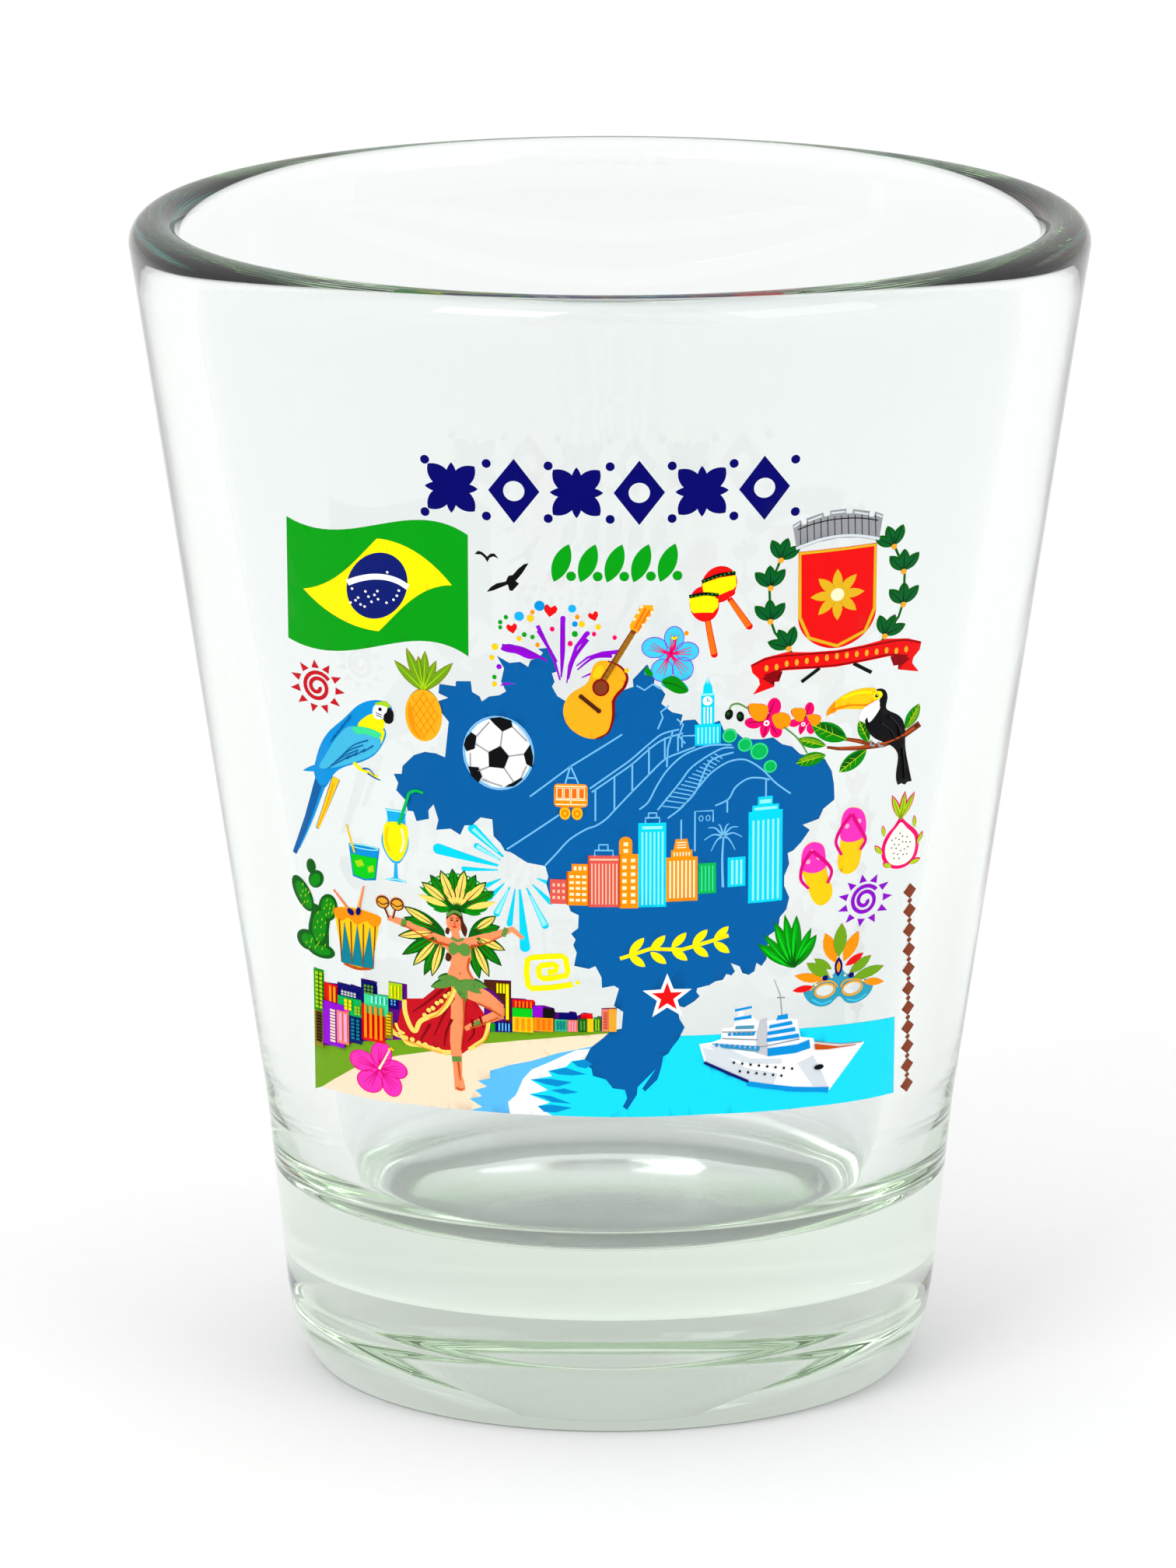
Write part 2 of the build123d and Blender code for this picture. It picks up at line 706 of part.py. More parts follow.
# ---- carnival mask ----
mask_plumes = [
    ((11.45, 25.0), (11.6, 26.8), 0.62), ((11.3, 24.7), (10.75, 26.4), 0.62),
    ((11.7, 24.7), (12.45, 26.2), 0.6), ((11.1, 24.4), (10.2, 25.12), 0.36),
    ((11.8, 24.45), (12.72, 24.95), 0.36), ((11.0, 24.0), (9.82, 24.95), 0.5),
    ((12.0, 24.0), (13.12, 24.72), 0.5), ((10.7, 23.9), (9.22, 24.35), 0.45),
    ((12.2, 23.7), (13.78, 23.98), 0.5), ((10.2, 23.6), (9.12, 23.55), 0.32),
    ((12.7, 23.4), (13.78, 23.1), 0.36),
]


def mask_face():
    with BuildSketch() as art:
        smooth(
            (9.68, 23.35), (10.0, 22.78), (10.6, 22.46), (11.15, 22.6), (11.48, 22.85), (11.8, 22.5),
            (12.35, 22.32), (12.95, 22.55), (13.22, 23.05), (12.8, 23.5), (12.2, 23.8), (11.75, 24.1),
            (11.45, 25.15), (11.2, 24.1), (10.6, 23.88), (10.1, 23.65),
        )
        with Locations((10.76, 23.3)):
            Ellipse(0.44, 0.31, mode=Mode.SUBTRACT)
        with Locations((12.16, 23.16)):
            Ellipse(0.44, 0.31, mode=Mode.SUBTRACT)
    return art.sketch


def mask_feathers():
    with BuildSketch() as art:
        for root, tip, width in mask_plumes:
            leaf(root, tip, width)
    return art.sketch


# ---- dancer ----
def dancer_feathers():
    with BuildSketch() as art:
        fan((-7.6, 28.1), 2.2, 0.7, range(32, 160, 16))
        fan((-7.6, 28.1), 1.55, 0.6, (10, 24, 156, 170))
        for root, tips in (
            ((-8.25, 26.9), ((-10.3, 27.95), (-10.3, 27.35), (-10.6, 26.3), (-10.4, 25.3), (-9.85, 24.8),
                             (-9.3, 24.35), (-8.9, 24.35))),
            ((-7.0, 26.9), ((-5.65, 27.95), (-5.45, 27.4), (-5.2, 26.15), (-5.38, 25.3), (-6.0, 24.65),
                            (-6.5, 24.5))),
        ):
            for tip in tips:
                leaf(root, tip, 0.62)
        for tip in ((-8.95, 23.8), (-8.6, 24.35), (-6.1, 24.1), (-6.4, 23.75), (-7.2, 23.2)):
            leaf((-7.5, 24.35), tip, 0.6)
    return art.sketch


def dancer_figure():
    with BuildSketch() as art:
        oval(-7.75, 27.45, 0.4, 0.62)
        ribbon([(-7.7, 26.9), (-7.6, 26.3)], 0.35, 0.5)
        smooth(
            (-8.2, 26.45), (-7.6, 26.55), (-6.95, 26.45), (-6.88, 25.6), (-7.0, 25.0), (-6.75, 24.35),
            (-7.5, 24.1), (-8.1, 24.4), (-7.95, 25.1), (-8.05, 25.7),
        )
        ribbon([(-7.9, 26.2), (-9.0, 26.55), (-9.8, 26.95), (-10.6, 27.1), (-11.1, 27.2)], 0.6, 0.26)
        ribbon([(-7.3, 26.3), (-6.2, 26.75), (-5.4, 27.05), (-4.85, 27.3), (-4.3, 26.85)], 0.55, 0.2)
        ribbon([(-7.55, 24.3), (-7.6, 22.6), (-7.72, 21.0), (-7.62, 19.6), (-7.6, 18.4)], 0.8, 0.34)
        ribbon([(-7.1, 23.9), (-6.2, 23.5), (-5.45, 22.95)], 0.95, 0.62)
        ribbon([(-5.4, 22.75), (-6.3, 22.3), (-7.25, 21.75)], 0.6, 0.24)
        disc(-5.5, 22.85, 0.32)
        disc(-11.35, 28.0, 0.36)
        disc(-10.62, 28.0, 0.36)
        ribbon([(-11.3, 27.9), (-11.0, 27.1)], 0.12)
        ribbon([(-10.7, 27.9), (-10.85, 27.1)], 0.12)
    return art.sketch


def dancer_skirt():
    with BuildSketch() as art:
        shape(
            (-7.55, 24.3), (-8.6, 23.85), (-9.35, 23.1), (-10.25, 22.95), (-10.5, 22.3), (-10.65, 21.6),
            (-11.15, 21.25), (-11.0, 20.85), (-10.5, 20.75), (-10.15, 20.42), (-9.2, 20.45), (-8.3, 20.25),
            (-7.5, 20.3), (-6.95, 20.75), (-6.15, 21.25), (-5.95, 22.1), (-6.3, 22.7), (-6.7, 23.3),
        )
    return art.sketch


# ---- the map and what is printed on it ----
def map_panel():
    with BuildSketch() as art:
        shape(
            (-8.4, 39.98), (-7.6, 39.93), (-7.58, 40.2), (-6.85, 40.26), (-6.78, 39.7), (-6.42, 39.5),
            (-6.3, 39.24), (-5.95, 39.52), (-5.45, 39.62), (-5.1, 39.85), (-5.35, 40.35), (-5.2, 41.05),
            (-5.55, 41.68), (-4.95, 41.34), (-4.4, 41.42), (-4.02, 41.18), (-3.9, 41.52), (-3.45, 41.72),
            (-3.28, 41.95), (-3.52, 42.14), (-2.9, 42.22), (-2.72, 41.6), (-2.6, 41.0), (-2.85, 40.9),
            (-2.72, 40.45), (-2.85, 40.2), (-2.58, 39.7), (-2.25, 39.5), (-1.0, 38.5), (0.5, 40.0),
            (1.15, 40.22), (1.12, 40.6), (1.82, 41.38), (2.2, 40.7), (2.16, 40.3), (2.45, 40.2),
            (2.72, 39.8), (2.52, 39.32), (3.05, 38.85), (3.58, 38.7), (3.42, 38.1), (3.62, 38.4),
            (4.2, 38.42), (4.5, 38.0), (5.4, 38.3), (5.62, 37.75), (6.3, 37.55), (6.6, 37.25),
            (7.5, 37.15), (8.05, 37.2), (8.5, 36.8), (9.0, 36.62), (9.4, 36.18), (10.65, 35.75),
            (11.0, 35.05), (11.12, 34.3), (11.15, 33.52), (10.6, 33.12), (10.38, 32.62), (9.55, 32.4),
            (9.92, 32.08), (9.5, 31.5), (9.1, 31.1), (8.82, 31.0), (8.9, 30.4), (8.66, 29.8),
            (8.66, 29.25), (8.92, 28.6), (8.78, 28.0), (8.45, 27.6), (8.38, 27.0), (7.9, 26.7),
            (7.8, 25.45), (7.55, 25.1), (7.3, 25.3), (7.2, 24.86), (6.92, 24.7), (6.6, 24.82),
            (6.45, 25.2), (6.0, 25.42), (6.22, 24.95), (6.05, 24.75), (5.8, 24.85), (5.62, 24.55),
            (5.25, 24.5), (4.95, 24.32), (4.35, 24.2), (4.3, 23.98), (4.46, 23.75), (4.2, 23.5),
            (3.7, 23.2), (3.35, 23.32), (3.46, 22.6), (3.72, 22.12), (3.42, 21.5), (3.1, 21.08),
            (2.9, 20.75), (2.65, 20.6), (2.58, 20.1), (2.38, 19.4), (1.75, 18.75), (1.62, 18.92),
            (2.28, 19.95), (1.38, 19.0), (1.35, 18.6), (0.86, 17.78), (0.64, 17.95), (0.86, 18.42),
            (0.75, 18.86), (0.15, 18.95), (-0.2, 19.42), (-0.85, 19.62), (-0.92, 20.0), (-1.35, 20.3),
            (-0.98, 21.1), (-0.3, 21.7), (0.0, 22.0), (0.58, 22.15), (0.66, 23.05), (0.2, 23.38),
            (0.45, 24.3), (0.2, 24.46), (-0.4, 24.34), (-0.42, 24.9), (-0.72, 25.5), (-1.05, 25.35),
            (-1.78, 25.5), (-1.65, 26.2), (-1.82, 26.6), (-1.7, 26.9), (-1.92, 27.2), (-1.58, 27.5),
            (-1.55, 28.2), (-1.95, 28.4), (-2.05, 28.72), (-2.9, 28.9), (-3.15, 29.8), (-3.05, 30.2),
            (-3.2, 30.76), (-4.1, 30.9), (-4.9, 31.4), (-5.2, 31.46), (-5.42, 31.85), (-5.76, 32.2),
            (-5.82, 33.08), (-6.4, 33.14), (-6.82, 32.7), (-7.2, 32.64), (-7.42, 32.12), (-7.9, 32.4),
            (-8.62, 32.26), (-8.5, 32.8), (-8.74, 33.6), (-9.0, 33.25), (-8.98, 32.8), (-9.6, 32.6),
            (-9.76, 33.1), (-10.05, 33.1), (-10.12, 33.62), (-10.6, 34.1), (-10.5, 34.5), (-10.72, 34.95),
            (-10.32, 35.0), (-10.28, 35.42), (-9.7, 36.08), (-9.15, 36.32), (-8.6, 36.3), (-8.15, 36.14),
            (-7.95, 38.05), (-8.45, 38.65), (-8.5, 39.05), (-7.95, 39.3), (-8.45, 39.5),
        )
    return art.sketch


def football():
    with BuildSketch() as art:
        oval(-5.5, 36.6, 1.76, 1.94)
    return art.sketch


def cable_car():
    with BuildSketch() as art:
        with Locations((-1.93, 34.52)):
            RectangleRounded(1.66, 1.22, 0.2)
        oval(-2.22, 33.6, 0.27, 0.37)
        oval(-1.62, 33.6, 0.27, 0.37)
    return art.sketch


def clock_tower():
    with BuildSketch() as art:
        block(4.18, 37.05, 5.46, 38.15)
        block(4.48, 37.05, 5.14, 39.65)
        shape(
            (4.55, 39.6), (5.08, 39.6), (5.02, 40.15), (4.92, 40.3), (4.8, 40.6), (4.68, 40.3),
            (4.6, 40.15),
        )
    return art.sketch


def tree_discs():
    with BuildSketch() as art:
        disc(5.9, 37.48, 0.37)
        disc(6.66, 36.95, 0.37)
        disc(7.37, 36.55, 0.46)
        disc(7.92, 35.7, 0.34)
    return art.sketch


def towers_red():
    with BuildSketch() as art:
        block(-2.97, 28.78, -2.12, 30.08)
        block(-1.06, 28.65, 0.47, 31.38)
    return art.sketch


def towers_orange():
    with BuildSketch() as art:
        block(-2.12, 28.72, -1.06, 30.52)
        block(-1.9, 30.5, -1.06, 30.92)
        block(0.47, 28.58, 1.4, 31.45)
        block(0.45, 31.4, 1.1, 32.05)
        disc(0.775, 32.05, 0.325)
        block(2.78, 28.88, 4.34, 31.22)
        block(3.02, 31.2, 4.08, 31.6)
        shape((3.14, 31.58), (3.94, 31.58), (3.82, 32.18), (3.24, 32.18))
    return art.sketch


def towers_cyan():
    with BuildSketch() as art:
        block(1.4, 28.62, 2.78, 33.08)
        block(5.83, 29.48, 6.72, 31.05)
        block(6.86, 28.52, 8.56, 33.38)
        block(7.04, 33.3, 8.38, 33.7)
        block(7.32, 33.6, 8.06, 34.14)
    return art.sketch


def tower_green():
    with BuildSketch() as art:
        block(4.38, 29.22, 5.26, 30.84)
    return art.sketch


def star_mark():
    with BuildSketch() as art:
        star(2.85, 23.78, 1.28)
    return art.sketch


def ray_burst():
    centre = (-4.55, 30.45)
    beams = [
        ((-8.5, 31.25), 0.56), ((-7.25, 30.33), 0.24), ((-6.78, 32.5), 0.5), ((-6.6, 31.6), 0.3),
        ((-6.1, 29.55), 0.24), ((-6.0, 28.9), 0.3), ((-5.62, 28.1), 0.34), ((-4.98, 27.6), 0.3),
        ((-4.22, 26.4), 0.52), ((-3.22, 27.6), 0.36), ((-2.95, 28.85), 0.28), ((-3.15, 29.9), 0.18),
    ]
    with BuildSketch() as art:
        for tip, width in beams:
            ray(centre, tip, width)
    return art.sketch


# ---- the shore along the foot of the picture ----
verge_line = [
    (-14.95, 19.15), (-14.0, 19.5), (-13.2, 19.85), (-12.5, 20.15), (-11.3, 20.5), (-10.2, 20.75),
    (-6.1, 21.7), (-3.0, 21.95), (0.3, 22.05),
]
sand_line = [
    (0.3, 21.95), (-2.0, 21.72), (-4.5, 21.38), (-6.5, 21.02), (-8.0, 20.6), (-9.5, 20.15),
    (-10.6, 19.8), (-12.0, 19.2), (-13.0, 18.5), (-14.0, 17.6), (-14.6, 16.98), (-14.95, 16.75),
]
surf_line = [
    (-7.0, 17.38), (-6.4, 17.62), (-7.05, 18.0), (-6.4, 18.2), (-6.75, 18.5), (-6.15, 18.75),
    (-6.62, 19.02), (-6.0, 19.2), (-6.0, 19.62), (-5.0, 20.02), (-3.9, 20.32), (-2.6, 20.8), (-0.9, 21.2),
]
foam_line = [
    (-5.0, 17.4), (-5.1, 18.0), (-4.7, 18.42), (-4.35, 19.3), (-3.9, 19.85), (-3.2, 20.2),
    (-2.4, 20.62), (-1.7, 20.98), (-0.8, 21.1),
]
sea_line = [
    (-2.9, 17.42), (-3.65, 17.88), (-3.0, 18.12), (-4.05, 18.5), (-3.1, 18.78), (-3.98, 19.3),
    (-2.9, 19.55), (-3.1, 19.82), (-2.2, 20.08), (-1.9, 20.4), (-0.7, 20.6),
]


def verge():
    with BuildSketch() as art:
        shape(*verge_line, *sand_line)
    return art.sketch


def beach():
    with BuildSketch() as art:
        shape(*sand_line[:-1], (-12.0, 17.1), (-9.5, 17.28), *surf_line, (-0.4, 21.6))
    return art.sketch


def surf():
    with BuildSketch() as art:
        shape(*surf_line, *reversed(foam_line))
    return art.sketch


def foam():
    with BuildSketch() as art:
        shape(*foam_line, *reversed(sea_line))
    return art.sketch


def sea():
    with BuildSketch() as art:
        shape(
            *sea_line, (0.5, 20.6), (3.2, 21.68), (5.5, 21.62), (9.5, 21.45), (12.0, 21.22), (14.38, 20.95),
            (14.38, 16.72), (10.0, 17.1), (5.0, 17.36),
        )
    return art.sketch


def west_towers():
    with BuildSketch() as art:
        shape(
            (-14.95, 19.15), (-14.95, 23.5), (-14.42, 23.52), (-14.42, 22.6), (-14.25, 22.9),
            (-13.72, 22.98), (-13.72, 22.8), (-13.02, 22.86), (-13.02, 23.16), (-12.5, 23.1),
            (-12.5, 23.6), (-11.8, 23.6), (-11.66, 23.3), (-11.66, 22.92), (-11.1, 22.95), (-11.1, 23.74),
            (-10.15, 23.74), (-10.15, 20.76), (-11.3, 20.5), (-12.5, 20.15), (-13.2, 19.85), (-14.0, 19.5),
        )
    return art.sketch


def east_towers():
    with BuildSketch() as art:
        shape(
            (-6.1, 21.7), (-6.28, 22.4), (-6.28, 24.5), (-4.92, 24.55), (-4.92, 23.62), (-4.25, 23.62),
            (-3.72, 23.48), (-3.72, 23.3), (-3.3, 23.32), (-2.8, 23.2), (-2.72, 22.98), (-2.1, 22.95),
            (-1.98, 23.06), (-1.7, 23.02), (-1.62, 22.82), (-1.3, 23.0), (-0.9, 22.95), (-0.8, 22.6),
            (-0.6, 22.82), (-0.42, 22.8), (-0.42, 23.25), (0.35, 23.28), (0.3, 22.05), (-3.0, 21.95),
        )
    return art.sketch


def cruise_ship():
    with BuildSketch() as art:
        shape(
            (4.45, 21.18), (4.75, 20.1), (6.92, 18.88), (7.5, 18.58), (9.2, 18.22), (11.02, 17.82),
            (11.25, 18.1), (12.82, 20.05), (11.6, 20.2), (10.25, 20.6), (10.2, 20.82), (9.55, 21.0),
            (9.35, 22.0), (8.95, 22.1), (8.9, 22.38), (8.5, 22.34), (8.3, 22.12), (7.4, 22.15),
            (7.25, 22.3), (7.08, 22.5), (6.68, 22.56), (6.64, 22.86), (7.14, 22.88), (7.1, 23.04),
            (6.2, 22.94), (6.2, 22.78), (6.42, 22.78), (6.38, 22.52), (6.15, 22.46), (6.2, 21.98),
            (5.58, 21.92), (5.55, 21.38), (5.1, 21.24),
        )
        ribbon([(8.6, 22.3), (8.52, 23.4), (8.18, 24.35)], 0.12, 0.05)
    return art.sketch


# ---- from flat outline to film ----
def joined(drawings):
    """Several drawings as one outline."""
    with BuildSketch() as whole:
        for drawing in drawings:
            add(drawing())
    return whole.sketch


def left_bare(outline, covers):
    """What is left of an outline once the prints that cover it are taken out."""
    with BuildSketch() as seen:
        add(outline)
        for cover in covers:
            add(cover, mode=Mode.SUBTRACT)
    return [face for face in seen.faces() if face.area > speck]


def fired_film(faces):
    """Flat faces carried straight back onto the wall, as a film on the glass."""
    with BuildPart() as film_part:
        with BuildSketch(picture_plane):
            add(faces)
            scale(by=picture_scale)
        extrude(amount=rim_radius + 1)
        add(skin.part, mode=Mode.INTERSECT)
    return film_part.part


# Every print: its node, its drawings, and the prints that lie over it. Each film is cut back to
# its own ground, so that all of them lie straight on the glass and meet edge to edge.
prints = [
    ("ray_burst", [ray_burst], "dancer_feathers dancer_figure map_panel towers_warm"),
    ("sea", [sea], "map_panel cruise_ship foam"),
    ("foam", [foam], "map_panel surf"),
    ("surf", [surf], "map_panel beach"),
    ("beach", [beach], "map_panel dancer_figure dancer_skirt hibiscus_pink verge"),
    ("verge", [verge], "map_panel shore_towers dancer_figure dancer_skirt hibiscus_pink"),
    (
        "shore_towers",
        [west_towers, east_towers],
        "map_panel dancer_feathers dancer_figure dancer_skirt hibiscus_pink",
    ),
    (
        "map_panel",
        [map_panel],
        "football guitar_body guitar_neck hibiscus_blue firework_rays cable_car clock_tower"
        " map_greens towers_warm towers_cyan star_mark yellow_sprig branch_leaves agave orchids"
        " tulip_drink",
    ),
    ("firework_rays", [firework_rays], "guitar_body guitar_neck"),
    ("confetti", [confetti], "firework_rays hibiscus_blue"),
    ("guitar_body", [guitar_body], "guitar_neck"),
    ("guitar_neck", [guitar_neck], ""),
    ("hibiscus_blue", [hibiscus_blue, hibiscus_leaves], ""),
    ("hibiscus_pink", [hibiscus_pink], ""),
    ("title_frieze", [title_frieze], ""),
    ("green_frieze", [green_frieze], ""),
    ("yellow_sprig", [yellow_sprig], ""),
    ("brown_border", [brown_border], ""),
    ("flag_field", [flag_edge], "flag_diamond flag_disc"),
    ("flag_diamond", [flag_diamond], "flag_disc"),
    ("flag_disc", [flag_disc], ""),
    ("birds", [birds], ""),
    ("maracas", [maraca_heads, maraca_handles], ""),
    ("crest_crown", [crest_crown], ""),
    ("crest_shield", [crest_shield], "crest_crown crest_ribbon"),
    ("crest_laurels", [crest_laurels, crest_batons], "crest_shield crest_ribbon crest_crown"),
    ("crest_ribbon", [crest_ribbon], ""),
    ("sun_red", [sun_red], ""),
    ("sun_purple", [sun_purple], ""),
    ("square_spiral", [square_spiral], ""),
    ("parrot_tail", [parrot_tail, parrot_under_tail], "parrot_body"),
    ("parrot_body", [parrot_body], ""),
    ("pineapple", [pineapple_leaves, pineapple_fruit], ""),
    ("orchids", [orchid_pink, orchid_orange], "branch_leaves"),
    ("branch", [branch], "toucan_body branch_leaves"),
    ("branch_leaves", [branch_leaves], "toucan_body"),
    ("toucan_beak", [toucan_beak, toucan_throat], "toucan_body branch_leaves"),
    ("toucan_body", [toucan_body], ""),
    ("flip_flops", [flip_flops], ""),
    ("dragon_fruit", [dragon_leaves, dragon_fruit], ""),
    ("tumbler_drink", [tumbler_drink], ""),
    ("tulip_drink", [tulip_drink], ""),
    ("cactus", [cactus], "drum"),
    ("drum", [drum], ""),
    ("agave", [agave], ""),
    ("mask_feathers", [mask_feathers], "mask_face"),
    ("mask_face", [mask_face], ""),
    ("dancer_feathers", [dancer_feathers], "dancer_figure dancer_skirt"),
    ("dancer_skirt", [dancer_skirt], "dancer_figure"),
    ("dancer_figure", [dancer_figure], ""),
    ("football", [football], ""),
    ("cable_car", [cable_car], ""),
    ("clock_tower", [clock_tower], "map_greens"),
    ("map_greens", [tree_discs, tower_green], ""),
    ("towers_warm", [towers_red, towers_orange], "map_greens"),
    ("towers_cyan", [towers_cyan], "towers_warm"),
    ("star_mark", [star_mark], ""),
    ("cruise_ship", [cruise_ship], ""),
]
outlines = {name: joined(drawings) for name, drawings, covers in prints}

os.makedirs("parts", exist_ok=True)
export_step(glass_body.part, "parts/glass_body.step")
for name, drawings, covers in prints:
    film_print = fired_film(left_bare(outlines[name], [outlines[cover] for cover in covers.split()]))
    film_print.label = name
    export_step(film_print, f"parts/{name}.step")
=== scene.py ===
import math

import bmesh
import bpy
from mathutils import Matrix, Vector


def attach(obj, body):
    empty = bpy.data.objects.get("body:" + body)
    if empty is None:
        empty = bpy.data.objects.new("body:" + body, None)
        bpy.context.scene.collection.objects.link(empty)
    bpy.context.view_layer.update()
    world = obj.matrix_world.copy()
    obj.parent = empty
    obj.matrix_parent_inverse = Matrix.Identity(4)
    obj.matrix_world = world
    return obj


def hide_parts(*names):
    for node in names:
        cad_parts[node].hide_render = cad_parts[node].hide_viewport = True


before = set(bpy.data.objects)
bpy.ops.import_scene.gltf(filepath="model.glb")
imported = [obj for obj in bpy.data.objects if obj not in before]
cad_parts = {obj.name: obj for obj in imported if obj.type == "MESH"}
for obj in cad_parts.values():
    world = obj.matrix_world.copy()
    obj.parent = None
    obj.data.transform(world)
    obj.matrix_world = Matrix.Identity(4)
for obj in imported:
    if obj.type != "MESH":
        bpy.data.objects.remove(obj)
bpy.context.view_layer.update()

# A souvenir shot glass: a pressed clear tumbler with an enamel picture fired onto the front of its wall.
# The picture is drawn flat, in millimetres across and up, then carried straight back onto the flared wall.

MM = 0.001

# ---- the glass, as the CAD has it ----
GLASS_HEIGHT = 60.0
RIM_RADIUS = 24.47
RIM_WALL = 2.67
WAIST_HEIGHT = 14.0
WAIST_RADIUS = 17.82
HEEL_HEIGHT = 3.9
HEEL_RADIUS = 16.79
FOOT_RADIUS = 15.34
HEEL_BULGE = 0.22
FLOOR_HEIGHT = 9.2
FLOOR_RADIUS = 13.5
FLOOR_FILLET = 3.0
PUNT_RADIUS = 12.4
PUNT_DEPTH = 1.0
WAIST_SOFT = 0.5  # reach of the small rounding at each corner
HEEL_SOFT = 0.3
FOOT_SOFT = 0.25
PUNT_STEPS = 12
WALL_STEPS = 24  # points of the half section along each wall
SEGMENTS = 256  # turns of the half section round the glass
RIM_START = GLASS_HEIGHT - RIM_WALL / 2
FLARE = (RIM_RADIUS - WAIST_RADIUS) / (RIM_START - WAIST_HEIGHT)

# ---- the enamel ----
FILM = 0.05
BITE = 0.02  # how far the enamel sinks into the glass it is fused to
COAT = 0.011  # height of each colour over the one below
CUT = 1.0  # facets of the enamel are no wider than this
TOP_COAT = 17  # level of the windows and stripes on the many coats of the shore towers
FACING = 0.7  # a normal this far outward or inward marks the outer or the inner side of a film
CREASE = math.radians(40)


def wall_radius(up):
    """Outside radius of the flared wall at a height."""
    return WAIST_RADIUS + FLARE * (up - WAIST_HEIGHT)


def on_wall(across, up, proud):
    """A point of the flat picture, carried straight back onto the wall, in metres."""
    reach = wall_radius(up) + proud
    return Vector((across, -math.sqrt(max(reach * reach - across * across, 0.0)), up)) * MM


# ---- pigments ----
PIGMENTS = {
    "white": (250, 252, 252), "pearl": (214, 222, 228), "silver": (150, 152, 156),
    "black": (10, 10, 14), "navy": (0, 0, 104), "ink_blue": (8, 26, 110), "map_blue": (0, 94, 163),
    "slate_blue": (80, 150, 180), "line_blue": (112, 190, 238), "blue": (0, 145, 220),
    "sky": (22, 175, 238), "aqua": (20, 222, 255), "surf_blue": (92, 190, 250),
    "deep_teal": (0, 140, 205), "teal": (0, 130, 150), "cyan": (0, 214, 246),
    "pale_cyan": (150, 240, 248), "mint": (60, 225, 150), "flag_green": (0, 158, 16),
    "leaf_green": (0, 140, 6), "forest": (0, 92, 10), "bright_green": (0, 205, 20),
    "tree_green": (0, 185, 85), "lime": (170, 215, 20), "lawn": (112, 165, 22),
    "olive": (140, 138, 10), "moss": (92, 148, 62), "sand": (253, 228, 196), "cream": (255, 240, 196),
    "yellow": (255, 238, 0), "amber": (255, 204, 14), "gold": (236, 168, 44), "orange": (255, 148, 4),
    "tangerine": (250, 112, 14), "rust": (200, 78, 12), "brown": (132, 58, 28),
    "umber": (78, 32, 14), "skin": (252, 150, 98), "coral": (244, 132, 108), "red": (236, 12, 14),
    "crimson": (200, 14, 30), "wine": (138, 0, 8), "pink": (255, 50, 186), "rose": (222, 0, 128),
    "blush": (255, 168, 206), "magenta": (245, 0, 108), "violet": (140, 0, 200),
    "straw": (255, 222, 104), "ivory": (251, 247, 238),
    "petal": (66, 204, 240), "wing": (66, 186, 226), "mask_blue": (44, 158, 190),
    "salmon": (226, 88, 80),
    "peach": (250, 192, 160), "sun_orange": (255, 176, 26), "old_gold": (228, 178, 30),
    "laurel": (0, 96, 40),
    "charcoal": (40, 40, 44), "purple": (148, 0, 214),
    "plum": (96, 0, 132), "ash": (196, 198, 205),
}


def pigment(name):
    """Linear colour of a pigment."""
    linear = []
    for part in PIGMENTS[name]:
        share = part / 255
        linear.append(share / 12.92 if share <= 0.04045 else ((share + 0.055) / 1.055) ** 2.4)
    return (*linear, 1.0)


# ---- shader node helpers ----
def node(tree, kind, **values):
    """A new node with plain properties set."""
    made = tree.nodes.new(kind)
    for key, value in values.items():
        setattr(made, key, value)
    return made


def group_tree(name, inputs, outputs):
    """A shader node group with named sockets; inputs are (name, kind, value)."""
    tree = bpy.data.node_groups.new(name, "ShaderNodeTree")
    for label, kind, value in inputs:
        made = tree.interface.new_socket(label, in_out="INPUT", socket_type=kind)
        made.default_value = value
    for label, kind in outputs:
        tree.interface.new_socket(label, in_out="OUTPUT", socket_type=kind)
    return tree, node(tree, "NodeGroupInput"), node(tree, "NodeGroupOutput")


def noise(tree, place, scale, detail=3.0, rough=0.5):
    made = node(tree, "ShaderNodeTexNoise")
    made.inputs["Scale"].default_value = scale
    made.inputs["Detail"].default_value = detail
    made.inputs["Roughness"].default_value = rough
    tree.links.new(place, made.inputs["Vector"])
    return made


def remap(tree, value, low, high, to_low, to_high):
    made = node(tree, "ShaderNodeMapRange")
    made.inputs["From Min"].default_value = low
    made.inputs["From Max"].default_value = high
    made.inputs["To Min"].default_value = to_low
    made.inputs["To Max"].default_value = to_high
    tree.links.new(value, made.inputs["Value"])
    return made.outputs["Result"]


